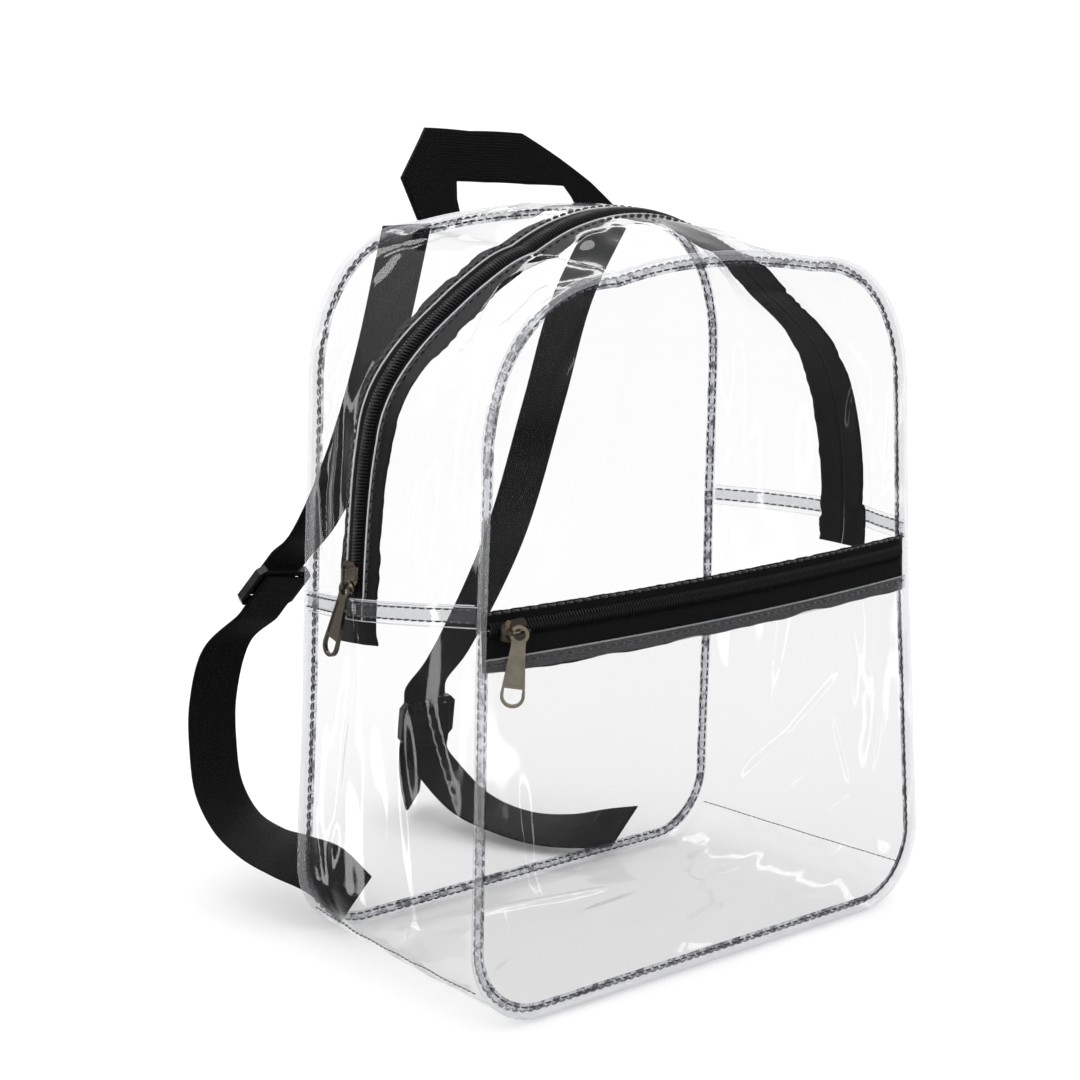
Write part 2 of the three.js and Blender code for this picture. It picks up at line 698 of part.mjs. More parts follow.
// The inner wall of the front pocket follows the zip at its top and hangs straight below it
function dividerFaceY(x, z) {
  const straight = frontSeamY(z) - FILM / 2;
  const follow = clamp(1 - (LOWER_HEM_Z - z) / DIVIDER_BEND, 0, 1);
  return mix(straight, frontFaceY(x, z), follow) + DIVIDER_BEHIND;
}

function pocketDivider() {
  return filmSheet(cutEdge(frontEdge, -FAR, DIVIDER_TOP_Z, PANEL_CUT_STEPS), dividerFaceY, FILM);
}

function backPanel() {
  return filmSheet(backEdge, (x, z) => backFaceY(x, z) - FILM, FILM);
}

// A horizontal strip of the front zip between two heights, following the front film
function frontZipStrip({ low, high, behind, thickness, inset }) {
  const columns = 2 * PANEL_CUT_STEPS;
  const sideAt = (side, z) => {
    const crossings = cutEdge(frontEdge, -FAR, z, 1).filter((point) => point[1] === z);
    return side * Math.abs(crossings.find((point) => Math.sign(point[0]) === side)[0]) - side * inset;
  };
  const outer = [];
  const inner = [];
  for (const z of [low, high]) {
    const left = sideAt(-1, z);
    const right = sideAt(1, z);
    const outerRow = [];
    const innerRow = [];
    for (let i = 0; i <= columns; i += 1) {
      const x = mix(left, right, i / columns);
      const y = frontFaceY(x, z) + behind;
      outerRow.push(vec(x, y, z));
      innerRow.push(vec(x, y + thickness, z));
    }
    outer.push(outerRow);
    inner.push(innerRow);
  }
  return slab(outer, inner);
}

function frontZipTapeUpper() {
  const low = FRONT_ZIP_Z + GAP / 2;
  return frontZipStrip({
    low,
    high: FRONT_ZIP_Z + FRONT_TAPE_ABOVE,
    behind: TAPE_BEHIND,
    thickness: TAPE,
    inset: 0,
  });
}

function frontZipTapeLower() {
  return frontZipStrip({
    low: FRONT_ZIP_Z - FRONT_TAPE_BELOW,
    high: FRONT_ZIP_Z - GAP / 2,
    behind: TAPE_BEHIND,
    thickness: TAPE,
    inset: 0,
  });
}

const FRONT_COIL_BEHIND = TAPE_BEHIND - GAP - COIL_HEIGHT;

function frontZipCoil() {
  return frontZipStrip({
    low: FRONT_ZIP_Z - COIL_WIDTH / 2,
    high: FRONT_ZIP_Z + COIL_WIDTH / 2,
    behind: FRONT_COIL_BEHIND,
    thickness: COIL_HEIGHT,
    inset: COIL_END_INSET,
  });
}

// Booleans on closed geometries
function toManifold(geometry) {
  const bare = geometry.clone();
  bare.deleteAttribute('normal');
  bare.deleteAttribute('uv');
  const merged = mergeVertices(bare, MERGE_REACH);
  const vertProperties = new Float32Array(merged.attributes.position.array);
  const triVerts = new Uint32Array(merged.index.array);
  return new wasm.Manifold(new wasm.Mesh({ numProp: 3, vertProperties, triVerts }));
}

function fromManifold(manifold) {
  const mesh = manifold.getMesh();
  const geometry = new THREE.BufferGeometry();
  geometry.setAttribute('position', new THREE.BufferAttribute(new Float32Array(mesh.vertProperties), 3));
  geometry.setIndex(new THREE.BufferAttribute(new Uint32Array(mesh.triVerts), 1));
  geometry.computeVertexNormals();
  return geometry;
}

// Plates cut from a flat shape, with their thickness centred on zero
function plate(shape, thickness, curveSegments = 5) {
  const geometry = new THREE.ExtrudeGeometry(shape, { depth: thickness, bevelEnabled: false, curveSegments });
  geometry.translate(0, 0, -thickness / 2);
  return geometry;
}

// A zip pull in its own plane: X across, Y up, with the bridge bar's seat at the origin
const EYE_CENTRE_Y = -EYE_DROP;
const EYE_RADIUS = EYE_HOLE_RADIUS + EYE_RIM;
const PULL_BOTTOM_Y = EYE_CENTRE_Y + EYE_RADIUS - PULL_LENGTH;
const PULL_SHOULDER_Y = EYE_CENTRE_Y - EYE_RADIUS - SHOULDER_DROP;
const PULL_END_RADIUS = PULL_WIDTH / 2;
const D_HOLE_TOP_Y = PULL_BOTTOM_Y + PULL_END_RADIUS + D_HOLE_RISE;

function pullOutline() {
  const shape = new THREE.Shape();
  const endY = PULL_BOTTOM_Y + PULL_END_RADIUS;
  shape.moveTo(PULL_NECK / 2, PULL_SHOULDER_Y);
  shape.lineTo(PULL_END_RADIUS, endY);
  shape.absarc(0, endY, PULL_END_RADIUS, 0, -Math.PI, true);
  shape.lineTo(-PULL_NECK / 2, PULL_SHOULDER_Y);
  shape.closePath();
  return shape;
}

function recessShape() {
  const shape = new THREE.Shape();
  const top = PULL_SHOULDER_Y - PULL_RIM;
  const bottom = D_HOLE_TOP_Y + PULL_RIM;
  const halfTop = PULL_NECK / 2 - PULL_RIM / 2;
  const halfBottom = PULL_WIDTH / 2 - PULL_RIM;
  shape.moveTo(-halfTop, top);
  shape.lineTo(-halfBottom, bottom);
  shape.lineTo(halfBottom, bottom);
  shape.lineTo(halfTop, top);
  shape.closePath();
  return shape;
}

function dHoleShape() {
  const shape = new THREE.Shape();
  const half = PULL_WIDTH / 2 - PULL_RIM;
  const endY = PULL_BOTTOM_Y + PULL_END_RADIUS;
  shape.moveTo(half, D_HOLE_TOP_Y);
  shape.lineTo(half, endY);
  shape.absarc(0, endY, half, 0, -Math.PI, true);
  shape.lineTo(-half, D_HOLE_TOP_Y);
  shape.closePath();
  return shape;
}

function pullBody() {
  const eye = new THREE.Shape();
  eye.absarc(0, EYE_CENTRE_Y, EYE_RADIUS, 0, 2 * Math.PI, false);
  const neck = new THREE.Shape();
  neck.moveTo(-PULL_NECK / 2, PULL_SHOULDER_Y - SHOULDER_DROP);
  neck.lineTo(PULL_NECK / 2, PULL_SHOULDER_Y - SHOULDER_DROP);
  neck.lineTo(PULL_NECK / 2, EYE_CENTRE_Y);
  neck.lineTo(-PULL_NECK / 2, EYE_CENTRE_Y);
  neck.closePath();
  const hole = new THREE.Shape();
  hole.absarc(0, EYE_CENTRE_Y, EYE_HOLE_RADIUS, 0, 2 * Math.PI, false);
  const deep = 3 * PULL_THICKNESS;
  const recess = (side) => {
    const cut = plate(recessShape(), PULL_THICKNESS);
    cut.translate(0, 0, side * (PULL_THICKNESS - PULL_RECESS));
    return toManifold(cut);
  };
  return toManifold(plate(pullOutline(), PULL_THICKNESS))
    .add(toManifold(plate(neck, PULL_THICKNESS)))
    .add(toManifold(plate(eye, PULL_THICKNESS, 20)))
    .subtract(toManifold(plate(hole, deep, 16)))
    .subtract(toManifold(plate(dHoleShape(), deep)))
    .subtract(recess(1))
    .subtract(recess(-1));
}

// A slider in its own frame: X along the zip, Y across it, Z outwards from the plate's top
function sliderBody() {
  const long = SLIDER_LENGTH / 2;
  const half = SLIDER_WIDTH / 2;
  const right = SLIDER_SHAPE.map((row) => new THREE.Vector2(row.along * long, row.across * half));
  const left = right.map((point) => new THREE.Vector2(point.x, -point.y)).reverse();
  const outline = new THREE.Shape([...left, ...right]);
  const base = plate(outline, SLIDER_PLATE);
  base.translate(0, 0, -SLIDER_PLATE / 2);
  const bar = new THREE.CylinderGeometry(
    BRIDGE_BAR_RADIUS, BRIDGE_BAR_RADIUS, 2 * BRIDGE_HALF_WINDOW + BRIDGE_POST, 8);
  bar.rotateZ(Math.PI / 2);
  bar.translate(0, 0, BRIDGE_RISE);
  let body = toManifold(base).add(toManifold(bar));
  for (const end of [-1, 1]) {
    const height = BRIDGE_RISE + BRIDGE_BAR_RADIUS + SLIDER_PLATE / 2;
    const post = new THREE.BoxGeometry(BRIDGE_POST, 2 * BRIDGE_BAR_RADIUS, height);
    const x = end * (BRIDGE_HALF_WINDOW + BRIDGE_POST / 2);
    post.translate(x, 0, height / 2 - SLIDER_PLATE / 2);
    body = body.add(toManifold(post));
  }
  return body;
}

// Where a panel's edge crosses a height on the left side
function leftCrossing(edge, z) {
  const crossings = cutEdge(edge, z, FRONT_HEIGHT, 1).filter((point) => point[1] === z);
  return Math.min(...crossings.map((point) => point[0]));
}

// Front slider: the zip runs along X and the plate faces -Y
const frontSliderX = leftCrossing(frontEdge, FRONT_ZIP_Z) + FRONT_SLIDER_FROM_EDGE;
const frontCoilFace = frontFaceY(frontSliderX, FRONT_ZIP_Z) + FRONT_COIL_BEHIND;
const frontPlateTop = frontCoilFace - GAP - SLIDER_PLATE;
const frontBarAt = vec(frontSliderX, frontPlateTop - BRIDGE_RISE, FRONT_ZIP_Z);

function placed(geometry, place) {
  geometry.applyMatrix4(place);
  return geometry;
}

// A pull turned in its own plane about the middle of its eye, leaning left seen from its face
function leanedPull(lean) {
  const geometry = fromManifold(pullBody());
  geometry.translate(0, -EYE_CENTRE_Y, 0);
  geometry.rotateZ(-rad(lean));
  geometry.translate(0, EYE_CENTRE_Y, 0);
  return geometry;
}

function frontSliderGeometry() {
  const place = new THREE.Matrix4().makeBasis(vec(1, 0, 0), vec(0, 0, 1), vec(0, -1, 0));
  place.setPosition(frontSliderX, frontPlateTop - FRONT_SLIDER_SETTLE, FRONT_ZIP_Z);
  return placed(fromManifold(sliderBody()), place);
}

function frontPullGeometry() {
  const yaw = rad(FRONT_PULL_YAW);
  const across = vec(Math.cos(yaw), -Math.sin(yaw), 0);
  const facing = vec(-Math.sin(yaw), -Math.cos(yaw), 0);
  const place = new THREE.Matrix4().makeBasis(across, vec(0, 0, 1), facing);
  place.setPosition(frontBarAt.x, frontBarAt.y - FRONT_SLIDER_SETTLE, frontBarAt.z);
  return placed(leanedPull(FRONT_PULL_LEAN), place);
}

// Main slider: on the left gusset just above the lapped seam, with its plate facing out
const mainSliderStations = [leftStation(COIL_END + 1), leftStation(COIL_END)];
function mainZipFrame() {
  const [high, low] = mainSliderStations;
  const lowAt = gussetPoint(low, zipShare(low, 0), MAIN_COIL_FACE);
  const highAt = gussetPoint(high, zipShare(high, 0), MAIN_COIL_FACE);
  const upwards = highAt.clone().sub(lowAt).normalize();
  const at = lowAt.clone().addScaledVector(upwards, MAIN_SLIDER_FROM_SEAM);
  const side = vec(0, 1, 0);
  side.addScaledVector(upwards, -side.dot(upwards)).normalize();
  const outwards = side.clone().cross(upwards).normalize();
  if (outwards.x > 0) {
    outwards.negate();
  }
  return { at, upwards, side, outwards };
}
const mainZip = mainZipFrame();

function mainSliderGeometry() {
  const { at, upwards, outwards } = mainZip;
  const across = outwards.clone().cross(upwards);
  const place = new THREE.Matrix4().makeBasis(upwards, across, outwards);
  place.setPosition(at.clone().addScaledVector(outwards, GAP + SLIDER_PLATE));
  return placed(fromManifold(sliderBody()), place);
}

// The main pull hangs on the lower post of its bridge: its eye's top wire lies inside the window
const WINDOW_HEIGHT = BRIDGE_RISE - BRIDGE_BAR_RADIUS;
const wireReach = Math.hypot(EYE_RIM, PULL_THICKNESS) / 2;
const wireFromCentre = BRIDGE_HALF_WINDOW - GAP - wireReach;
const mainWireAt = mainZip.at.clone()
  .addScaledVector(mainZip.outwards, GAP + SLIDER_PLATE + WINDOW_HEIGHT / 2)
  .addScaledVector(mainZip.upwards, -wireFromCentre);

function mainPullGeometry() {
  const { upwards, outwards } = mainZip;
  const across = upwards.clone().cross(outwards);
  const place = new THREE.Matrix4().makeBasis(across, upwards, outwards).setPosition(mainWireAt);
  const swing = new THREE.Matrix4().makeRotationX(-rad(MAIN_PULL_SWING));
  const wireY = EYE_CENTRE_Y + EYE_HOLE_RADIUS + EYE_RIM / 2;
  const drop = new THREE.Matrix4().makeTranslation(0, -wireY, 0);
  return placed(leanedPull(MAIN_PULL_LEAN), place.multiply(swing).multiply(drop));
}

// Ribbons of webbing through smooth sections: each section has a middle and a unit width direction
function smoothSections(sections, steps) {
  const middles = new THREE.CatmullRomCurve3(sections.map((section) => section.middle), false, 'centripetal');
  const widths = new THREE.CatmullRomCurve3(sections.map((section) => section.width), false, 'catmullrom');
  const count = (sections.length - 1) * steps;
  const smooth = [];
  for (let i = 0; i <= count; i += 1) {
    const share = i / count;
    smooth.push({
      middle: middles.getPoint(share),
      width: widths.getPoint(share).normalize(),
      along: middles.getTangent(share),
    });
  }
  return smooth;
}

function ribbon(sections, steps = RIBBON_STEPS) {
  const outer = [];
  const inner = [];
  for (const { middle, width, along } of smoothSections(sections, steps)) {
    const normal = width.clone().cross(along).normalize();
    const half = width.clone().multiplyScalar(WEBBING / 2);
    const edgeA = middle.clone().sub(half);
    const edgeB = middle.clone().add(half);
    outer.push([edgeA, edgeB].map((edge) => edge.clone().addScaledVector(normal, WEBBING_THICKNESS / 2)));
    inner.push([edgeA, edgeB].map((edge) => edge.clone().addScaledVector(normal, -WEBBING_THICKNESS / 2)));
  }
  return slab(outer, inner);
}

// The handle stands in the top seam: a flat strip folded round two corners
const BACK_RUN_HALF = BACK_HALF_TOP - BACK_CORNER_WIDTH;
function handleFootZ(x) {
  const crown = BACK_HEIGHT - CROWN_DROP * clamp(Math.abs(x) / BACK_RUN_HALF, 0, 1) ** 2;
  return crown + PIPING_RADIUS + GAP;
}
const HANDLE_Y = backSeamY(BACK_HEIGHT);

function grabHandle() {
  const front = [];
  const back = [];
  HANDLE_SECTIONS.slice(1).forEach((high, i) => {
    const low = HANDLE_SECTIONS[i];
    for (let step = i === 0 ? 0 : 1; step <= RIBBON_STEPS; step += 1) {
      const at = (name) => mix(low[name], high[name], step / RIBBON_STEPS);
      const edges = [[at('outerAcross'), at('outerUp')], [at('innerAcross'), at('innerUp')]];
      const place = (side) => edges.map(([across, up]) => {
        const x = HANDLE_CENTRE + across * HANDLE_HALF_SPAN;
        const y = HANDLE_Y + (side * WEBBING_THICKNESS) / 2 - HANDLE_LEAN * up;
        return vec(x, y, handleFootZ(x) + up * HANDLE_RISE);
      });
      front.push(place(-1));
      back.push(place(1));
    }
  });
  return slab(front, back);
}

// Shoulder straps hang behind the back panel
const STRAP_BEHIND = PIPING_RADIUS + GAP + WEBBING_THICKNESS / 2;

function strapSection(row) {
  const z = row.up * BACK_HEIGHT;
  const roll = rad(row.roll);
  return {
    middle: vec(row.across * BACK_HALF_TOP, backSeamY(z) + STRAP_BEHIND + row.behind * STRAP_REACH, z),
    width: vec(Math.cos(roll), 0, Math.sin(roll)),
  };
}

// Frame of an adjuster: down the strap, across it, and the side that faces away from the bag
function adjusterFrame(route) {
  const above = strapSection(route.upper[route.upper.length - 1]).middle;
  const below = strapSection(route.lower[0]).middle;
  const { middle, width } = strapSection(route.adjuster);
  const down = below.clone().sub(above).normalize();
  const across = width.clone().addScaledVector(down, -width.dot(down)).normalize();
  const face = across.clone().cross(down).normalize();
  if (face.y < 0) {
    face.negate();
  }
  return { middle, down, across, face };
}

const ADJUSTER_STACK = ADJUSTER_THICKNESS / 2 + GAP + WEBBING_THICKNESS / 2;
const STRAP_OVER = ADJUSTER_LENGTH / 2 - ADJUSTER_RIM;
const STRAP_STRAIGHT = ADJUSTER_LENGTH / 2;
const STRAP_LEAD = ADJUSTER_LENGTH / 2 + ADJUSTER_LEAD;

function strapUpper(route) {
  const { middle, down, across, face } = adjusterFrame(route);
  const over = middle.clone().addScaledVector(face, ADJUSTER_STACK);
  const sections = route.upper.map(strapSection);
  for (const away of [-STRAP_LEAD, -STRAP_STRAIGHT, STRAP_OVER]) {
    sections.push({ middle: over.clone().addScaledVector(down, away), width: across });
  }
  return ribbon(sections);
}

function strapLower(route) {
  const { middle, down, across, face } = adjusterFrame(route);
  const under = middle.clone().addScaledVector(face, -ADJUSTER_STACK);
  const held = [-STRAP_OVER, STRAP_STRAIGHT, STRAP_LEAD].map((away) => (
    { middle: under.clone().addScaledVector(down, away), width: across }
  ));
  return ribbon([...held, ...route.lower.map(strapSection)]);
}

function strapAdjuster(route) {
  const shape = new THREE.Shape();
  const half = ADJUSTER_WIDTH / 2;
  const long = ADJUSTER_LENGTH / 2;
  const corner = ADJUSTER_RIM;
  shape.moveTo(-half + corner, -long);
  shape.lineTo(half - corner, -long);
  shape.lineTo(half, -long + corner);
  shape.lineTo(half, long - corner);
  shape.lineTo(half - corner, long);
  shape.lineTo(-half + corner, long);
  shape.lineTo(-half, long - corner);
  shape.lineTo(-half, -long + corner);
  shape.closePath();
  let frame = toManifold(plate(shape, ADJUSTER_THICKNESS));
  for (const side of [-1, 1]) {
    const slot = new THREE.BoxGeometry(ADJUSTER_WIDTH - 2 * ADJUSTER_RIM, ADJUSTER_SLOT, 2 * ADJUSTER_THICKNESS);
    slot.translate(0, side * (long - ADJUSTER_RIM - ADJUSTER_SLOT / 2), 0);
    frame = frame.subtract(toManifold(slot));
  }
  const { middle, down, across } = adjusterFrame(route);
  const geometry = fromManifold(frame);
  const normal = across.clone().cross(down);
  geometry.applyMatrix4(new THREE.Matrix4().makeBasis(across, down, normal).setPosition(middle));
  return geometry;
}

// The spare end of a strap hangs down from its adjuster
function strapTail(route) {
  const { middle, down, across, face } = adjusterFrame(route);
  const start = middle.clone().addScaledVector(face, ADJUSTER_STACK).addScaledVector(down, STRAP_OVER + GAP);
  const sections = TAIL_ROUTE.map((row) => ({
    middle: start.clone()
      .addScaledVector(down, row.down * TAIL_LENGTH)
      .addScaledVector(face, row.away * TAIL_LENGTH)
      .add(vec(0, 0, -row.fall * TAIL_LENGTH)),
    width: across.clone().applyAxisAngle(down, -rad(row.turn)),
  }));
  return ribbon(sections);
}

// Materials
const finishes = {
  film: { color: 0xe9ecef, roughness: 0.08, metalness: 0, transparent: true, opacity: 0.35 },
  tape: { color: 0x17171a, roughness: 0.85, metalness: 0 },
  coil: { color: 0x1b1b1e, roughness: 0.5, metalness: 0 },
  metal: { color: 0xc9c5ba, roughness: 0.25, metalness: 1 },
  webbing: { color: 0x131316, roughness: 0.8, metalness: 0 },
  plastic: { color: 0x151517, roughness: 0.45, metalness: 0 },
};

const bag = new THREE.Group();

function add(name, geometry, finish) {
  const mesh = new THREE.Mesh(geometry, new THREE.MeshStandardMaterial(finishes[finish]));
  mesh.name = name;
  bag.add(mesh);
}

add('front_panel_upper', frontPanelUpper(), 'film');
add('front_panel_lower', frontPanelLower(), 'film');
add('pocket_divider', pocketDivider(), 'film');
add('back_panel', backPanel(), 'film');
add('gusset_upper_front', gussetUpperFront(), 'film');
add('gusset_upper_back', gussetUpperBack(), 'film');
add('gusset_lower', gussetLower(), 'film');
add('front_piping', piping(frontLoop), 'film');
add('back_piping', piping(backLoop), 'film');
add('main_zip_tape_front', mainZipTape(-1), 'tape');
add('main_zip_tape_back', mainZipTape(1), 'tape');
add('main_zip_coil', mainZipCoil(), 'coil');
add('front_zip_tape_upper', frontZipTapeUpper(), 'tape');
add('front_zip_tape_lower', frontZipTapeLower(), 'tape');
add('front_zip_coil', frontZipCoil(), 'coil');
add('front_slider', frontSliderGeometry(), 'metal');
add('front_pull', frontPullGeometry(), 'metal');
add('main_slider', mainSliderGeometry(), 'metal');
add('main_pull', mainPullGeometry(), 'metal');
add('grab_handle', grabHandle(), 'webbing');
for (const side of ['left', 'right']) {
  const route = STRAP_ROUTES[side];
  add(`strap_upper_${side}`, strapUpper(route), 'webbing');
  add(`strap_lower_${side}`, strapLower(route), 'webbing');
  add(`strap_adjuster_${side}`, strapAdjuster(route), 'plastic');
}
add('strap_tail_right', strapTail(STRAP_ROUTES.right), 'webbing');

export default bag;
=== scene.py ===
"""Clear film backpack with two black coil zips, a webbing handle and webbing shoulder straps.

Sizes and places are in millimetres, as in the solid model, and become metres when a mesh is made.
The front faces -Y, the shoulder straps are on +Y, and the bag stands on Z = 0.
"""

import math

import bpy
import numpy as np
from mathutils import Matrix, Vector, noise


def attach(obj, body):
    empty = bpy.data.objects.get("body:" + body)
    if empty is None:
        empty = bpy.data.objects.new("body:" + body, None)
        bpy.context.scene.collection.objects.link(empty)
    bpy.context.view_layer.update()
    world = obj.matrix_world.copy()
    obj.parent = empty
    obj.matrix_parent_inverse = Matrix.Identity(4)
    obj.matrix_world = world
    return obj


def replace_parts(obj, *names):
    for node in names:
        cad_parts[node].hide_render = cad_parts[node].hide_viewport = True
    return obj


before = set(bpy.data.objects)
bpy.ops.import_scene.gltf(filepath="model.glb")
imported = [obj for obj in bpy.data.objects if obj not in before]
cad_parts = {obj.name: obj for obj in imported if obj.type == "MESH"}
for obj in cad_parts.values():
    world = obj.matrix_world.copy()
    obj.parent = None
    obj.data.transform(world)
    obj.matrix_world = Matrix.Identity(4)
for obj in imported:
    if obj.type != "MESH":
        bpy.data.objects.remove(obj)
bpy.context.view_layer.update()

MM = 0.001
BAG = "bag"

# Body of the bag
HALF_DEPTH = 60.5
PIPING_RADIUS = 2.0
BOTTOM_Z = PIPING_RADIUS + 0.3
BOTTOM_CORNER = 32.0
CROWN_DROP = 5.0
CORNER_POWER = 2.25
FRONT_HEIGHT = 298.0
BACK_HEIGHT = 312.0
FRONT_HALF_BOTTOM = 125.0
BACK_HALF_BOTTOM = 118.0
BACK_HALF_TOP = 113.0
GUSSET_BULGE = 10.0
GUSSET_DENT_REACH = 0.18
FRONT_BULGE = 9.0
BACK_BULGE = 4.0
BACK_FULLEST = 0.45
LAP = 9.0
TAPE_TAIL = 10.0
COIL_END_CLEARANCE = 1.5

FRONT_SEAM = {
    "half_bottom": FRONT_HALF_BOTTOM, "half_top": 115.0, "height": FRONT_HEIGHT,
    "corner_width": 54.0, "corner_height": 60.0, "depth": "front",
    "corner_share": {"left": 1.25, "right": 1.0}, "lap": {"left": 168.0, "right": 171.0},
}
BACK_SEAM = {
    "half_bottom": BACK_HALF_BOTTOM, "half_top": BACK_HALF_TOP, "height": BACK_HEIGHT,
    "corner_width": 54.0, "corner_height": 68.0, "depth": "back",
    "corner_share": {"left": 1.0, "right": 1.0}, "lap": {"left": 153.0, "right": 171.0},
}

# How far the two seams stand from the middle, in shares of HALF_DEPTH, by share of the height
SEAM_DEPTHS = {
    "up": [0.0, 0.12, 0.35, 0.55, 0.75, 1.0],
    "front": [1.07, 1.06, 1.03, 1.0, 1.0, 0.98],
    "back": [1.15, 1.14, 1.06, 1.02, 0.96, 0.94],
}

# Bulge of the gusset in shares of GUSSET_BULGE, and drift of the main zip in shares of half the depth
GUSSET_SHAPE = {
    "up": [0.0, 0.1, 0.3, 0.55, 0.66, 0.75, 0.8, 0.86, 0.93, 0.975, 0.99, 1.0],
    "left_bulge": [0.0, 0.25, 0.9, 1.0, 1.0, 1.0, 0.8, 0.1, -0.65, -0.55, 0.45, 0.95],
    "left_drift": [0.2, 0.2, 0.2, 0.2, 0.17, 0.1, 0.04, -0.03, -0.08, -0.1, -0.08, -0.08],
    "right_bulge": [0.0, 0.25, 0.9, 1.3, 1.4, 1.2, 0.8, -0.6, -1.5, -1.4, -0.1, 0.95],
    "right_drift": [-0.2, -0.2, -0.2, -0.26, -0.22, -0.15, -0.1, -0.05, -0.04, -0.05, -0.08, -0.08],
}
GUSSET_DENTS = [
    {"side": -1, "up": 0.9, "reach": 0.035, "deep": 0.35, "depth": 3.0},
    {"side": -1, "up": 0.72, "reach": 0.05, "deep": 0.75, "depth": 2.0},
    {"side": -1, "up": 0.25, "reach": 0.07, "deep": 0.5, "depth": 2.0},
    {"side": 1, "up": 0.9, "reach": 0.04, "deep": 0.6, "depth": 2.5},
    {"side": 1, "up": 0.3, "reach": 0.06, "deep": 0.4, "depth": 2.0},
]
PANEL_DENTS = [
    {"panel": "front", "across": -0.8, "up": 0.82, "reach": (0.16, 0.12), "depth": 2.5},
    {"panel": "front", "across": 0.62, "up": 0.2, "reach": (0.2, 0.05), "depth": 2.4},
    {"panel": "front", "across": 0.8, "up": 0.32, "reach": (0.07, 0.16), "depth": 1.8},
    {"panel": "front", "across": -0.55, "up": 0.14, "reach": (0.12, 0.09), "depth": 2.2},
    {"panel": "back", "across": -0.5, "up": 0.4, "reach": (0.1, 0.3), "depth": 2.0},
    {"panel": "back", "across": 0.45, "up": 0.75, "reach": (0.25, 0.08), "depth": 2.0},
]

# Stations round half a seam: bottom run, bottom corner, side with the lap, top corner, top run
RUN_BOTTOM_END = 3
CORNER_END = 8
TAIL_END = 10
LAP_LOW = 11
LAP_HIGH = 12
COIL_END = 13
SPRING = 16
TOP_CORNER_END = 23
HALF_ROUND = 27
ROUND = 2 * HALF_ROUND
FINE = 10
# Where the small seam crosses the side band as it turns under the bag
CORNER_SEAM = 6.2

# Layers of the gusset, as offsets outwards from the middle of the piping
LOWER_FILM = 1.8
UPPER_FILM = 0.5
MAIN_TAPE = -0.9
MAIN_COIL = -0.45
ZIP_OPENING = 14.0
MAIN_TAPE_HALF = 15.5
TAPE_THICKNESS = 0.5

# Front zip
FRONT_ZIP_Z = 162.0
UPPER_HEM_Z = FRONT_ZIP_Z + 6.2
LOWER_HEM_Z = FRONT_ZIP_Z - 11.0
HEM_HEIGHT = 5.4
FRONT_TAPE_TOP_Z = FRONT_ZIP_Z + 7.0
ZIP_HOLDS = 20.0
DENT_FADE = 30.0
DIVIDER_BEHIND = 3.2
DIVIDER_BEND = 30.0

# Webbing
WEBBING = 25.0
WEBBING_THICKNESS = 1.6
HANDLE_RISE = 38.0
HANDLE_HALF_SPAN = 55.0
HANDLE_CENTRE = -3.5
HANDLE_LEAN = 3.0
STRAP_REACH = 100.0
STRAP_BEHIND = PIPING_RADIUS + 0.3 + WEBBING_THICKNESS / 2
ADJUSTER_LENGTH = 22.0
ADJUSTER_RIM = 3.0
ADJUSTER_THICKNESS = 3.5
ADJUSTER_LEAD = 6.0
TAIL_LENGTH = 38.0

# Edges of the handle from its left foot: outer across and up, inner across and up
HANDLE_SECTIONS = [
    (-1.01, 0.0, -0.62, 0.0),
    (-1.18, 0.47, -0.65, 0.14),
    (-0.97, 1.0, -0.66, 0.34),
    (-0.54, 0.87, -0.4, 0.28),
    (-0.03, 0.79, 0.05, 0.21),
    (0.37, 0.5, 0.43, 0.19),
    (0.7, 0.25, 0.52, 0.06),
    (0.97, 0.0, 0.55, 0.0),
]

# Strap routes: across in shares of BACK_HALF_TOP, behind of STRAP_REACH, up of BACK_HEIGHT, roll in degrees
STRAP_ROUTES = {
    "left": {
        "upper": [
            (-0.553, 0.0, 0.985, 0), (-0.6, 0.15, 0.8, 0), (-0.66, 0.28, 0.66, 2), (-0.73, 0.43, 0.55, 5),
        ],
        "adjuster": (-0.8, 0.62, 0.463, 4),
        "lower": [
            (-0.905, 0.83, 0.369, 0), (-0.925, 0.92, 0.279, 0), (-0.925, 0.92, 0.208, 0),
            (-0.93, 0.86, 0.147, 4), (-0.925, 0.73, 0.106, 8), (-0.93, 0.5, 0.09, 20),
            (-0.93, 0.25, 0.09, 34), (-0.89, 0.05, 0.082, 43), (-0.78, 0.0, 0.034, 45),
        ],
    },
    "right": {
        "upper": [
            (0.456, 0.0, 0.985, 0), (0.394, 0.2, 0.856, 0), (0.335, 0.31, 0.705, -4),
            (0.285, 0.52, 0.484, -6), (0.24, 0.88, 0.28, 0),
        ],
        "adjuster": (0.225, 1.02, 0.165, 0),
        "lower": [
            (0.245, 0.95, 0.085, 4), (0.275, 0.72, 0.042, 8), (0.32, 0.44, 0.028, 12),
            (0.39, 0.2, 0.03, 26), (0.5, 0.05, 0.036, 40), (0.62, 0.0, 0.033, 45),
        ],
    },
}
TAIL_ROUTE = [(0.0, 0.0, 0.0, 0), (0.24, 0.04, 0.0, 4), (0.1, 0.22, 0.55, 26), (0.1, 0.22, 0.95, 40)]

# The films' turned-in edges, and the seam's two rows of stitches, as distances from the middle of the piping
SEAM_EDGE = 1.1
FOLD_ON_PANEL = 4.4
FOLD_ON_SIDE = 3.4
NEEDLE_ROW = 2.9
BOBBIN_ROW = 2.3

# Thread
THREAD = 0.42
STITCH = 3.2
STITCH_GAP = 0.9


def column(table, name, up):
    return np.interp(up, table["up"], table[name])


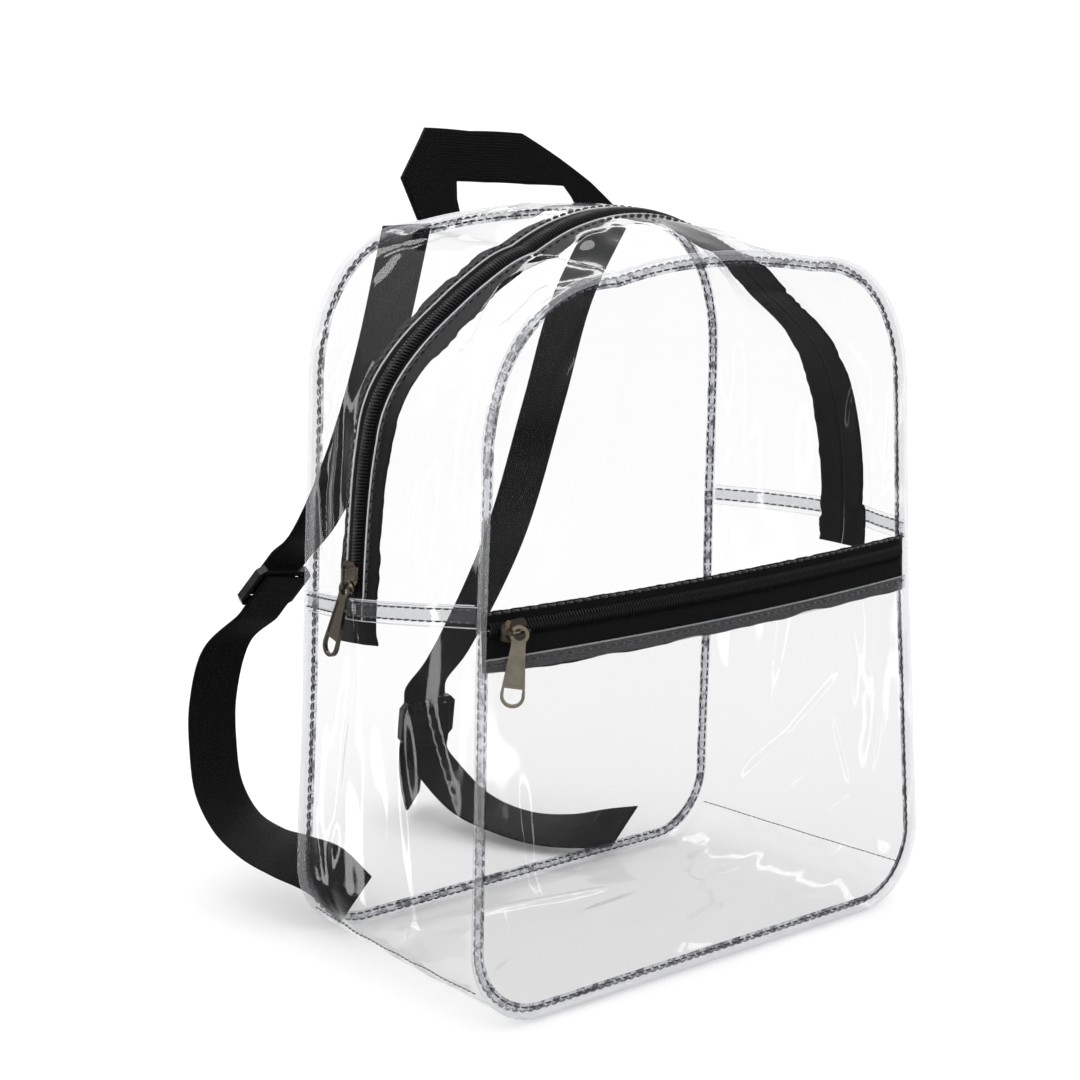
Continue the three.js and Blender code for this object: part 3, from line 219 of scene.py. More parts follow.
def seam_y(depth, z, height):
    sign = -1 if depth == "front" else 1
    return sign * HALF_DEPTH * column(SEAM_DEPTHS, depth, z / height)


def half_seam(seam, side):
    """Stations, distances across and heights from the bottom middle to the top middle."""
    width = seam["corner_width"] * seam["corner_share"][side]
    height = seam["corner_height"] * seam["corner_share"][side]
    spring_z = seam["height"] - CROWN_DROP - height
    corner_z = BOTTOM_Z + BOTTOM_CORNER
    lap = seam["lap"][side]
    station = np.arange(0, HALF_ROUND * FINE + 1) / FINE
    knots = [CORNER_END, TAIL_END, LAP_LOW, LAP_HIGH, COIL_END, SPRING]
    heights = [corner_z, lap - LAP / 2 - TAPE_TAIL, lap - LAP / 2, lap + LAP / 2,
               lap + LAP / 2 + COIL_END_CLEARANCE, spring_z]
    z = np.interp(station, knots, heights)
    share = (z - corner_z) / (spring_z - corner_z)
    x = seam["half_bottom"] + (seam["half_top"] - seam["half_bottom"]) * share
    run = station <= RUN_BOTTOM_END
    flat = seam["half_bottom"] - BOTTOM_CORNER
    x[run] = flat * station[run] / RUN_BOTTOM_END
    z[run] = BOTTOM_Z
    corner = (station > RUN_BOTTOM_END) & (station < CORNER_END)
    turn = ((station[corner] - RUN_BOTTOM_END) / (CORNER_END - RUN_BOTTOM_END) - 1) * math.pi / 2
    x[corner] = flat + BOTTOM_CORNER * np.cos(turn)
    z[corner] = corner_z + BOTTOM_CORNER * np.sin(turn)
    top = (station > SPRING) & (station <= TOP_CORNER_END)
    turn = (station[top] - SPRING) / (TOP_CORNER_END - SPRING) * math.pi / 2
    top_run = seam["half_top"] - width
    x[top] = top_run + width * np.maximum(np.cos(turn), 0) ** (2 / CORNER_POWER)
    z[top] = spring_z + height * np.sin(turn) ** (2 / CORNER_POWER)
    crown = station > TOP_CORNER_END
    x[crown] = top_run * (1 - (station[crown] - TOP_CORNER_END) / (HALF_ROUND - TOP_CORNER_END))
    z[crown] = seam["height"] - CROWN_DROP * (x[crown] / top_run) ** 2
    return station, x, z


def seam_loop(seam):
    """The whole seam by station, anticlockwise from the bottom middle seen from the front."""
    _, right_x, right_z = half_seam(seam, "right")
    _, left_x, left_z = half_seam(seam, "left")
    x = np.concatenate([right_x, -left_x[-2:0:-1]])
    z = np.concatenate([right_z, left_z[-2:0:-1]])
    along_x = np.roll(x, -1) - np.roll(x, 1)
    along_z = np.roll(z, -1) - np.roll(z, 1)
    length = np.hypot(along_x, along_z)
    return {
        "x": x, "z": z, "y": seam_y(seam["depth"], z, seam["height"]),
        "nx": along_z / length, "nz": -along_x / length,
    }


FRONT_LOOP = seam_loop(FRONT_SEAM)
BACK_LOOP = seam_loop(BACK_SEAM)
LOOP_STATIONS = np.arange(0, ROUND * FINE) / FINE


def at_station(loop, name, station):
    return np.interp(station, LOOP_STATIONS, loop[name], period=ROUND)


def smoothed(values, spread=6):
    """A round list blurred over a few fine steps."""
    steps = np.arange(-3 * spread, 3 * spread + 1)
    weights = np.exp(-((steps / spread) ** 2) / 2)
    weights /= weights.sum()
    return sum(weight * np.roll(values, step) for step, weight in zip(steps, weights))


for loop, height in ((FRONT_LOOP, FRONT_HEIGHT), (BACK_LOOP, BACK_HEIGHT)):
    for name in ("bulge", "drift"):
        left = column(GUSSET_SHAPE, "left_" + name, loop["z"] / height)
        right = column(GUSSET_SHAPE, "right_" + name, loop["z"] / height)
        loop[name] = smoothed(np.where(loop["x"] < 0, left, right))


def bump_between(value, low, high, soft):
    """1 between low and high, falling to 0 over soft on each side."""
    return np.clip((value - low) / soft, 0, 1) * np.clip((high - value) / soft, 0, 1)


def smooth_noise(points, size, seed):
    """Soft noise of about -1 to 1 at points in mm, with waves of about that size."""
    shape = points.shape[:-1]
    flat = points.reshape(-1, 3) / np.asarray(size, dtype=float) + seed * 7.31
    return np.array([noise.noise(point) for point in flat.tolist()]).reshape(shape)


def panel_noise(x, z, size, seed):
    """Soft noise on a flat panel, whose depth plays no part."""
    return smooth_noise(np.stack([x, np.zeros_like(x), z], axis=-1), size, seed)


def gusset(station, deep, offset=0.0, creased=True):
    """Points of the side band at a station, a depth share from front to back, and an offset outwards."""
    station, deep, offset = np.broadcast_arrays(
        np.asarray(station, float), np.asarray(deep, float), np.asarray(offset, float))
    names = ("x", "y", "z", "nx", "nz", "bulge")
    front = {name: at_station(FRONT_LOOP, name, station) for name in names}
    back = {name: at_station(BACK_LOOP, name, station) for name in names}
    mixed = {name: front[name] * (1 - deep) + back[name] * deep for name in names}
    up = front["z"] / FRONT_HEIGHT * (1 - deep) + back["z"] / BACK_HEIGHT * deep
    side = np.sign(front["x"])
    held = np.sin(math.pi * np.clip(deep, 0, 1))
    beside_zip = np.clip((np.abs(deep - zip_share(station, 0.0)) * gusset_depth(station) - 8) / 14, 0, 1)
    bulge = GUSSET_BULGE * mixed["bulge"] * held
    for dent in GUSSET_DENTS:
        away = ((up - dent["up"]) / dent["reach"]) ** 2 + ((deep - dent["deep"]) / GUSSET_DENT_REACH) ** 2
        deepest = dent["depth"] * np.exp(-away) * held * beside_zip
        bulge = bulge - np.where(side == dent["side"], deepest, 0)
    length = np.hypot(mixed["nx"], mixed["nz"])
    normal = np.stack([mixed["nx"] / length, np.zeros_like(length), mixed["nz"] / length], axis=-1)
    points = np.stack([mixed["x"], mixed["y"], mixed["z"]], axis=-1) + normal * (bulge + offset)[..., None]
    if creased:
        points = points + normal * gusset_creases(station, deep, points, normal)[..., None]
    return points


# Folds of the side band: from x, y, z to x, y, z, then width and height, all in mm
GUSSET_FOLDS = [
    (-119, -37, 241, -124, -22, 180, 5.0, 1.7), (-96, -46, 275, -120, -44, 205, 4.0, 1.5),
    (-87, -24, 283, -119, -32, 232, 6.0, -1.8), (-124, -32, 215, -126, -26, 174, 3.6, 1.2),
    (-110, -52, 258, -121, -50, 200, 2.4, -1.1), (-63, -24, 300, -100, -32, 272, 5.0, 1.6),
    (-70, -42, 297, -96, -42, 276, 3.2, -1.3), (-122, -48, 196, -125, -34, 170, 2.6, 1.1),
    (-80, 42, 299, -112, 38, 262, 3.6, 2.2), (-98, 52, 285, -118, 48, 230, 2.8, -1.7),
    (-120, 30, 242, -124, 32, 190, 3.6, 1.9), (-118, 46, 225, -122, 41, 172, 2.8, 1.7),
    (-122, 53, 205, -122, 52, 165, 2.2, -1.3), (-110, 29, 265, -120, 40, 222, 2.8, 1.5),
    (-122, 36, 214, -117, 56, 196, 2.0, 1.5), (-119, 34, 236, -112, 56, 246, 2.0, -1.3),
    (-71, 47, 305, -30, 42, 312, 3.0, 1.9), (-60, 32, 308, -86, 46, 298, 2.4, -1.5),
    (-44, 50, 311, 6, 46, 313, 2.6, 1.6), (-16, 34, 313, 34, 47, 312, 2.6, -1.4),
    (-36, 28, 311, -62, 50, 307, 2.0, 1.4), (14, 30, 313, 52, 50, 310, 2.4, 1.4),
    (-52, -30, 300, -14, -22, 306, 4.0, 1.5), (-30, -44, 299, 12, -34, 301, 3.0, -1.3),
    (16, -22, 306, 66, -30, 297, 4.4, 1.6), (40, -46, 297, 78, -36, 294, 3.0, -1.3),
    (86, -30, 292, 118, -28, 250, 4.6, 1.7), (110, -44, 266, 122, -40, 210, 3.4, -1.4),
    (124, -26, 160, 128, -22, 225, 4.0, 1.5), (118, 42, 246, 118, 46, 180, 3.0, 1.4),
    (110, 36, 268, 80, 44, 296, 3.0, 1.5), (120, 26, 210, 118, 52, 190, 2.4, -1.2),
    (-128, -20, 150, -126, -28, 60, 5.0, 1.5), (-128, 12, 142, -122, 36, 60, 5.0, -1.5),
    (-126, 32, 62, -110, 46, 14, 2.8, 1.8), (-126, -8, 58, -106, -20, 8, 3.4, 1.6),
    (-122, -40, 44, -98, -50, 6, 2.8, -1.4), (-124, 20, 50, -116, 10, 18, 2.4, -1.4),
    (-121, 50, 60, -119, 40, 24, 2.4, 1.5), (-127, -34, 130, -125, -52, 90, 2.8, 1.2),
    (128, -10, 150, 124, -22, 62, 5.0, 1.4), (127, 22, 142, 122, 34, 50, 4.0, -1.3),
    (124, -30, 60, 108, -46, 8, 2.8, 1.6), (122, 14, 44, 100, 4, 4, 3.0, 1.6),
    (-84, -22, 2, -30, 8, 1, 4.0, -1.6), (6, -40, 1, 70, -14, 1, 4.0, -1.6),
    (-50, 44, 1, 30, 32, 1, 3.6, -1.5), (58, 18, 1, 98, 44, 3, 3.6, -1.6),
    (-10, 10, 1, 46, 20, 1, 5.0, -1.4), (-96, 30, 3, -70, 54, 1, 3.0, -1.6),
]


def fold_height(points, folds):
    """Sum of rounded ridges along straight lines in space."""
    height = np.zeros(points.shape[:-1])
    for fold in folds:
        start = np.array(fold[:3], float)
        along = np.array(fold[3:6], float) - start
        width, rise = fold[6:]
        share = np.clip(((points - start) @ along) / (along @ along), 0, 1)
        away = np.linalg.norm(points - start - share[..., None] * along, axis=-1)
        fade = np.sin(math.pi * np.clip(share, 0.03, 0.97)) ** 0.6
        height = height + rise * np.exp(-(away / width) ** 2) * fade
    return height


def gusset_creases(station, deep, points, normal):
    """Folds of the side band in mm: chosen ones, long waves, and gathers that fan out from the crown."""
    depth = gusset_depth(station)
    from_zip = np.abs(deep - zip_share(station, 0.0)) * depth
    zipped = bump_between(station, LAP_HIGH, ROUND - LAP_HIGH, 1.0)
    edge = np.minimum(deep, 1 - deep) * depth
    free = np.where(zipped > 0, np.clip((from_zip - 12) / 8, 0, 1), 1) * np.clip((edge - 1) / 9, 0, 1)
    crown = bump_between(station, SPRING + 2, ROUND - SPRING - 2, 3)
    waves = 2.0 * smooth_noise(points, (60, 18, 80), 3) * (1 - crown) * (0.5 + 0.5 * zipped)
    waves = waves + 1.6 * smooth_noise(points, (14, 60, 30), 5) * crown
    waves = waves + fold_height(points, GUSSET_FOLDS)
    resting = normal[..., 2] < -0.7
    return np.where(resting, np.minimum(waves, 0), waves) * free


def gusset_depth(station):
    return at_station(BACK_LOOP, "y", station) - at_station(FRONT_LOOP, "y", station)


def zip_share(station, distance):
    """Depth share at a distance behind the middle of the main zip."""
    return (1 + at_station(FRONT_LOOP, "drift", station)) / 2 + distance / gusset_depth(station)


def panel_rise(across, up, fullest):
    sideways = 1 - np.clip(np.abs(across), 0, 1) ** 2
    reach = np.where(up > fullest, 1 - fullest, fullest)
    return sideways * (1 - np.clip(np.abs(up - fullest) / reach, 0, 1) ** 2)


def dent_depth(panel, across, up):
    depth = np.zeros_like(across)
    for dent in PANEL_DENTS:
        if dent["panel"] == panel:
            wide, tall = dent["reach"]
            away = ((across - dent["across"]) / wide) ** 2 + ((up - dent["up"]) / tall) ** 2
            depth = depth + dent["depth"] * np.exp(-away)
    return depth


# Creases of the front film: from x and z to x and z, width and depth, all in mm
FRONT_CREASES = [
    (12, 78, 44, 92, 5.0, 2.2), (40, 92, 77, 113, 4.6, 2.0), (70, 97, 85, 62, 3.0, 1.8),
    (81, 118, 96, 104, 3.0, -1.3), (88, 122, 102, 100, 2.4, 1.2), (34, 70, 62, 84, 3.0, -1.3),
    (96, 62, 104, 112, 2.2, -1.1), (44, 44, 96, 58, 3.4, 1.6), (58, 30, 84, 40, 2.4, -1.1),
    (-70, 34, -30, 22, 3.0, 1.5), (-96, 62, -84, 34, 3.0, -1.4), (-30, 30, 12, 18, 3.4, 1.4),
    (-104, 100, -100, 56, 2.4, 1.2), (-60, 16, -10, 20, 2.4, -1.2), (20, 14, 70, 18, 2.6, 1.2),
    (100, 20, 112, 56, 2.6, 1.3), (-98, 18, -76, 12, 2.4, 1.3), (-112, 60, -104, 26, 2.2, -1.1),
    (-90, 292, -60, 286, 2.6, 1.4), (-104, 262, -88, 284, 2.6, -1.4), (-110, 228, -98, 262, 3.0, 1.4),
    (-84, 250, -64, 280, 3.0, 1.2), (-41, 290, -18, 276, 3.0, 1.1), (82, 240, 77, 222, 2.4, 1.3),
    (70, 268, 96, 244, 2.8, 1.3), (104, 190, 107, 238, 2.4, 1.0), (-114, 180, -108, 222, 2.4, 1.2),
    (14, 284, 52, 280, 2.6, 1.0), (94, 186, 108, 206, 2.4, -1.0),
]
BACK_CREASES = [
    (-86, 262, -60, 288, 3.0, 1.4), (-92, 236, -84, 270, 2.6, -1.1), (-70, 270, -20, 284, 3.6, 1.4),
    (-98, 190, -94, 236, 2.2, 1.1), (-90, 150, -84, 206, 2.8, -1.0), (60, 282, 88, 258, 3.0, 1.2),
    (-60, 20, -10, 34, 3.2, 1.0), (20, 30, 64, 18, 3.0, 1.1), (78, 60, 84, 120, 2.6, 0.9),
]


def crease_depth(x, z, creases):
    """Sum of narrow ridges along straight lines, fading at both ends."""
    depth = np.zeros_like(x)
    for x0, z0, x1, z1, width, height in creases:
        along = np.array([x1 - x0, z1 - z0], float)
        length = np.hypot(*along)
        along /= length
        share = np.clip(((x - x0) * along[0] + (z - z0) * along[1]) / length, 0, 1)
        away = np.hypot(x - x0 - share * length * along[0], z - z0 - share * length * along[1])
        fade = np.sin(math.pi * np.clip(share, 0.02, 0.98)) ** 0.5
        depth = depth + height * np.exp(-(away / width) ** 2) * fade
    return depth


def front_y(x, z, creased=True):
    across = x / FRONT_HALF_BOTTOM
    up = z / FRONT_HEIGHT
    rise = panel_rise(across, up, FRONT_ZIP_Z / FRONT_HEIGHT)
    free = np.clip((np.abs(z - FRONT_ZIP_Z) - ZIP_HOLDS) / DENT_FADE, 0, 1)
    y = seam_y("front", z, FRONT_HEIGHT) - FRONT_BULGE * rise
    dents = dent_depth("front", across, up)
    if creased:
        dents = dents + crease_depth(x, z, FRONT_CREASES) + 1.1 * panel_noise(x, z, (46, 1, 70), 11)
    return y + dents * np.sqrt(rise) * free


def back_y(x, z):
    across = x / BACK_HALF_BOTTOM
    up = z / BACK_HEIGHT
    rise = panel_rise(across, up, BACK_FULLEST)
    waves = dent_depth("back", across, up) + crease_depth(x, z, BACK_CREASES)
    waves = waves + 1.4 * panel_noise(x, z, (30, 1, 80), 17)
    return seam_y("back", z, BACK_HEIGHT) + BACK_BULGE * rise - waves * np.sqrt(rise)


def divider_y(x, z):
    hang = seam_y("front", z, FRONT_HEIGHT) + 0.5 * panel_noise(x, z, (40, 1, 90), 23)
    follow = np.clip(1 - (LOWER_HEM_Z - z) / DIVIDER_BEND, 0, 1)
    return hang * (1 - follow) + front_y(x, z, False) * follow + DIVIDER_BEHIND


def mesh_piece(name, points, faces, material, uv=None):
    """A smooth mesh from points in mm, riding on the bag. uv holds a pair in mm for each point."""
    mesh = bpy.data.meshes.new(name)
    mesh.from_pydata((np.asarray(points) * MM).tolist(), [], faces)
    mesh.validate()
    mesh.polygons.foreach_set("use_smooth", [True] * len(mesh.polygons))
    if uv is not None:
        layer = mesh.uv_layers.new(name="cloth_mm")
        corners = np.zeros(len(mesh.loops), dtype=np.int32)
        mesh.loops.foreach_get("vertex_index", corners)
        layer.data.foreach_set("uv", np.asarray(uv, float)[corners].ravel())
    mesh.materials.append(material)
    piece = bpy.data.objects.new(name, mesh)
    bpy.context.scene.collection.objects.link(piece)
    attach(piece, BAG)
    return piece


def grid_faces(rows, columns, around=False, close_rows=False):
    """Quads of a grid of points, optionally closed round its columns or its rows."""
    i = np.arange(rows if close_rows else rows - 1)
    j = np.arange(columns if around else columns - 1)
    i, j = np.meshgrid(i, j, indexing="ij")
    a = i * columns + j
    b = ((i + 1) % rows) * columns + j
    c = ((i + 1) % rows) * columns + (j + 1) % columns
    d = i * columns + (j + 1) % columns
    return np.stack([a, b, c, d], axis=-1).reshape(-1, 4).tolist()


def capped_faces(rings, sides):
    """Faces of a closed bar: quads between its rings of points, and a face over each end."""
    last = (rings - 1) * sides
    ends = [list(range(sides)), list(range(last + sides - 1, last - 1, -1))]
    return grid_faces(rings, sides, around=True) + ends


def repeated_faces(count, rings, sides):
    """Faces of many equal open bars, whose points follow each other."""
    one = np.array(grid_faces(rings, sides, around=True))
    return (one[None] + (np.arange(count) * rings * sides)[:, None, None]).reshape(-1, 4).tolist()


def lengths_along(path):
    return np.concatenate([[0], np.cumsum(np.linalg.norm(np.diff(path, axis=0), axis=1))])


def film_piece(name, grid, node):
    """A film sheet. Clear film throws next to no shadow, so it lets the lamps through."""
    piece = sheet_piece(name, grid, FILM)
    piece.visible_shadow = False
    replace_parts(piece, node)


def sheet_piece(name, grid, material, close_rows=False, thickness=None):
    """A sheet through a grid of points, with its own lengths in mm as uv."""
    rows, columns = grid.shape[:2]
    down = lengths_along(grid[:, columns // 2])
    wide = lengths_along(grid[rows // 2])
    uv = np.stack(np.broadcast_arrays(down[:, None], wide[None, :]), axis=-1).reshape(-1, 2)
    faces = grid_faces(rows, columns, close_rows=close_rows)
    piece = mesh_piece(name, grid.reshape(-1, 3), faces, material, uv)
    if thickness:
        solid = piece.modifiers.new("cloth thickness", "SOLIDIFY")
        solid.thickness = thickness * MM
        solid.offset = 0
    return piece


def unit(vectors):
    return vectors / np.maximum(np.linalg.norm(vectors, axis=-1, keepdims=True), 1e-9)


def tangents(path, closed=False):
    if closed:
        return unit(np.roll(path, -1, axis=0) - np.roll(path, 1, axis=0))
    return unit(np.gradient(path, axis=0))


def round_points(count):
    return np.arange(count) / count * 2 * math.pi


def tube_piece(name, path, out, radius, material, sides=12, closed=False):
    """A round tube along a path. out gives a direction away from the film at each point."""
    along = tangents(path, closed)
    side = unit(np.cross(along, out))
    up = unit(np.cross(side, along))
    turn = round_points(sides)
    ring = np.cos(turn)[None, :, None] * up[:, None] + np.sin(turn)[None, :, None] * side[:, None]
    points = path[:, None] + ring * radius
    if closed:
        faces = grid_faces(len(path), sides, around=True, close_rows=True)
    else:
        faces = capped_faces(len(path), sides)
    return mesh_piece(name, points.reshape(-1, 3), faces, material)


def along_path(path, values, distance):
    """Values of a path at distances along it."""
    lengths = lengths_along(path)
    return np.stack([np.interp(distance, lengths, values[:, k]) for k in range(values.shape[1])], axis=-1)


def path_length(path):
    return float(lengths_along(path)[-1])


# One stitch: share of its length, then its width and lift in thread widths
STITCH_RINGS = [(0.0, 0.3, -1.2), (0.12, 0.85, -0.1), (0.5, 1.0, 0.45), (0.88, 0.85, -0.1), (1.0, 0.3, -1.2)]


def stitch_piece(name, path, out, material, length=STITCH, gap=STITCH_GAP, thread=THREAD, sides=6):
    """A row of stitches on a path: each dips into its needle holes and rises between them."""
    total = path_length(path)
    count = max(1, int(total / (length + gap)))
    start = (np.arange(count) + 0.1) * (total / count)
    wobble = np.array([noise.noise((7.7 * number, 3.1, len(name))) for number in range(count)])
    share = np.array([ring[0] for ring in STITCH_RINGS])
    width = np.array([ring[1] for ring in STITCH_RINGS]) * thread
    lift = np.array([ring[2] for ring in STITCH_RINGS]) * thread
    distance = start[:, None] + share[None, :] * (length * (1 + 0.12 * wobble[:, None]))
    shape = distance.shape
    centre = along_path(path, path, distance.ravel()).reshape(*shape, 3)
    along = unit(along_path(path, tangents(path), distance.ravel())).reshape(*shape, 3)
    normal = unit(along_path(path, out, distance.ravel())).reshape(*shape, 3)
    side = unit(np.cross(along, normal))
    centre = centre + normal * lift[None, :, None] + side * (0.25 * thread * wobble)[:, None, None]
    turn = round_points(sides)
    ring = np.cos(turn)[:, None] * normal[:, :, None] + np.sin(turn)[:, None] * side[:, :, None]
    points = centre[:, :, None] + ring * width[None, :, None, None]
    faces = repeated_faces(count, len(STITCH_RINGS), sides)
    return mesh_piece(name, points.reshape(-1, 3), faces, material)


def srgb(value):
    """An sRGB hex colour as linear red, green, blue and alpha."""
    parts = [int(value[i:i + 2], 16) / 255 for i in (1, 3, 5)]
    linear = [part / 12.92 if part <= 0.04045 else ((part + 0.055) / 1.055) ** 2.4 for part in parts]
    return (*linear, 1.0)


def add_node(tree, kind, inputs=None, **settings):
    """Adds a node. inputs gives a value or another node's socket for each named or numbered input."""
    made = tree.nodes.new(kind)
    for name, value in settings.items():
        setattr(made, name, value)
    for name, value in (inputs or {}).items():
        if isinstance(value, bpy.types.NodeSocket):
            tree.links.new(value, made.inputs[name])
        else:
            made.inputs[name].default_value = value
    return made


def start_material(name):
    material = bpy.data.materials.new(name)
    material.use_nodes = True
    tree = material.node_tree
    tree.nodes.clear()
    return material, tree


def end_material(tree, surface):
    add_node(tree, "ShaderNodeOutputMaterial", {"Surface": surface})


def pvc_film(name, clear, edgewise, ripple, haze, roughness=0.05):
    """Plasticised PVC sheet, calendered smooth: clear face on, grey edgewise, with soft ripples that
    catch the lamps."""
    material, tree = start_material(name)
    place = add_node(tree, "ShaderNodeTexCoord").outputs["Object"]
    # ripples of a folded sheet are about 45 mm apart, with slighter ones about 20 mm apart between them
    wide = add_node(tree, "ShaderNodeTexNoise", {"Vector": place, "Scale": 22.0, "Detail": 0.0})
    fine = add_node(tree, "ShaderNodeTexNoise", {"Vector": place, "Scale": 52.0, "Detail": 0.0})
    waves = add_node(tree, "ShaderNodeMath", {0: fine.outputs["Fac"], 1: 0.22, 2: wide.outputs["Fac"]},
                     operation="MULTIPLY_ADD")
    bump = add_node(tree, "ShaderNodeBump",
                    {"Height": waves.outputs[0], "Strength": ripple, "Distance": 0.006})
    facing = add_node(tree, "ShaderNodeLayerWeight", {"Blend": 0.5, "Normal": bump.outputs["Normal"]})
    edge_on = add_node(tree, "ShaderNodeMath", {0: facing.outputs["Facing"], 1: 8.0}, operation="POWER")
    tint = add_node(tree, "ShaderNodeMix", {0: edge_on.outputs[0], 6: srgb(clear), 7: srgb(edgewise)},
                    data_type="RGBA")
    through = add_node(tree, "ShaderNodeBsdfTransparent", {"Color": tint.outputs[2]})
    milk = add_node(tree, "ShaderNodeBsdfDiffuse", {"Color": srgb("#F4F5F7")})
    body = add_node(tree, "ShaderNodeMixShader", {0: haze, 1: through.outputs[0], 2: milk.outputs[0]})
    # a few hundredths mirrored face on, rising steeply edgewise
    grazing = add_node(tree, "ShaderNodeMath", {0: facing.outputs["Facing"], 1: 7.0}, operation="POWER")
    mirrored = add_node(tree, "ShaderNodeMapRange", {"Value": grazing.outputs[0], 3: 0.042, 4: 0.95})
    gloss = add_node(tree, "ShaderNodeBsdfGlossy",
                     {"Color": srgb("#FFFFFF"), "Roughness": roughness, "Normal": bump.outputs["Normal"]})
    surface = add_node(tree, "ShaderNodeMixShader",
                       {0: mirrored.outputs[0], 1: body.outputs[0], 2: gloss.outputs[0]})
    end_material(tree, surface.outputs[0])
    return material


def woven(name, dark, light, across_mm, along_mm, depth, roughness, fuzz):
    """Black synthetic weave seen close, from uv in mm: its colour follows the weave's relief, with painted
    highlight on the thread crowns and painted shade in the gaps, over random fibre tone.
    """
    material, tree = start_material(name)
    uv = add_node(tree, "ShaderNodeUVMap", uv_map="cloth_mm").outputs["UV"]
    parts = add_node(tree, "ShaderNodeSeparateXYZ", {0: uv})
    ribs = add_node(tree, "ShaderNodeMath", {0: parts.outputs[1], 1: 2 * math.pi / across_mm},
                    operation="MULTIPLY")
    picks = add_node(tree, "ShaderNodeMath", {0: parts.outputs[0], 1: 2 * math.pi / along_mm},
                     operation="MULTIPLY")
    rib = add_node(tree, "ShaderNodeMath", {0: ribs.outputs[0]}, operation="SINE")
    pick_shift = add_node(tree, "ShaderNodeMath", {0: rib.outputs[0], 1: 1.2, 2: picks.outputs[0]},
                          operation="MULTIPLY_ADD")
    pick = add_node(tree, "ShaderNodeMath", {0: pick_shift.outputs[0]}, operation="SINE")
    both = add_node(tree, "ShaderNodeMath", {0: pick.outputs[0], 1: 0.6, 2: rib.outputs[0]},
                    operation="MULTIPLY_ADD")
    height = add_node(tree, "ShaderNodeMapRange", {"Value": both.outputs[0], 1: -1.6, 2: 1.6})
    fibre = add_node(tree, "ShaderNodeTexNoise", {"Vector": uv, "Scale": 1.3, "Detail": 3.0})
    # painted shade and highlight: the weave's relief height darkens the gaps and lightens the crowns, mixed
    # with random fibre tone
    painted_shade_and_fibre = add_node(tree, "ShaderNodeMath", {0: fibre.outputs["Fac"], 1: 0.5, 2: height.outputs[0]},
                     operation="MULTIPLY_ADD")
    tone = add_node(tree, "ShaderNodeMapRange", {"Value": painted_shade_and_fibre.outputs[0], 1: 0.35, 2: 1.35})
    colour = add_node(tree, "ShaderNodeMix", {0: tone.outputs[0], 6: srgb(dark), 7: srgb(light)},
                      data_type="RGBA")
    bump = add_node(tree, "ShaderNodeBump",
                    {"Height": height.outputs[0], "Strength": depth, "Distance": 0.0006})
    cloth = add_node(tree, "ShaderNodeBsdfPrincipled", {
        "Base Color": colour.outputs[2], "Roughness": roughness, "Normal": bump.outputs["Normal"],
        "Sheen Weight": fuzz, "Sheen Roughness": 0.4, "Specular IOR Level": 0.15, "IOR": 1.5})
    end_material(tree, cloth.outputs[0])
    return material


def moulded(name, colour, roughness, ior, grain, metallic=0.0, worn="#000000", wear=0.0, gloss=0.5):
    """Solid plastic or plated metal with the fine unevenness that its surface has."""
    material, tree = start_material(name)
    place = add_node(tree, "ShaderNodeTexCoord").outputs["Object"]
    skin = add_node(tree, "ShaderNodeTexNoise", {"Vector": place, "Scale": 900.0, "Detail": 3.0})
    cloud = add_node(tree, "ShaderNodeTexNoise", {"Vector": place, "Scale": 160.0, "Detail": 2.0})
    bump = add_node(tree, "ShaderNodeBump",
                    {"Height": skin.outputs["Fac"], "Strength": grain, "Distance": 0.0002})
    patch = add_node(tree, "ShaderNodeMapRange", {"Value": cloud.outputs["Fac"], 1: 0.45, 2: 0.75, 4: wear})
    tint = add_node(tree, "ShaderNodeMix", {0: patch.outputs[0], 6: srgb(colour), 7: srgb(worn)},
                    data_type="RGBA")
    rough = add_node(tree, "ShaderNodeMapRange",
                     {"Value": cloud.outputs["Fac"], 1: 0.3, 2: 0.7, 3: roughness * 0.8, 4: roughness * 1.25})
    solid = add_node(tree, "ShaderNodeBsdfPrincipled", {
        "Base Color": tint.outputs[2], "Roughness": rough.outputs[0], "Metallic": metallic,
        "IOR": ior, "Specular IOR Level": gloss, "Normal": bump.outputs["Normal"]})
    end_material(tree, solid.outputs[0])
    return material


def spun_thread(name, dark, light):
    """Corespun polyester thread: two plies twisted about 1.2 mm a turn, with a dull silk shine."""
    material, tree = start_material(name)
    place = add_node(tree, "ShaderNodeTexCoord").outputs["Object"]
    twist = add_node(tree, "ShaderNodeTexNoise", {"Vector": place, "Scale": 1400.0, "Detail": 2.0})
    patchy = add_node(tree, "ShaderNodeTexNoise", {"Vector": place, "Scale": 120.0, "Detail": 2.0})
    mix = add_node(tree, "ShaderNodeMath", {0: patchy.outputs["Fac"], 1: 0.8, 2: twist.outputs["Fac"]},
                   operation="MULTIPLY_ADD")
    tone = add_node(tree, "ShaderNodeMapRange", {"Value": mix.outputs[0], 1: 0.6, 2: 1.2})
    colour = add_node(tree, "ShaderNodeMix", {0: tone.outputs[0], 6: srgb(dark), 7: srgb(light)},
                      data_type="RGBA")
    bump = add_node(tree, "ShaderNodeBump",
                    {"Height": twist.outputs["Fac"], "Strength": 0.5, "Distance": 0.0003})
    cloth = add_node(tree, "ShaderNodeBsdfPrincipled", {
        "Base Color": colour.outputs[2], "Roughness": 0.7, "Normal": bump.outputs["Normal"],
        "Sheen Weight": 0.3})
    end_material(tree, cloth.outputs[0])
    return material


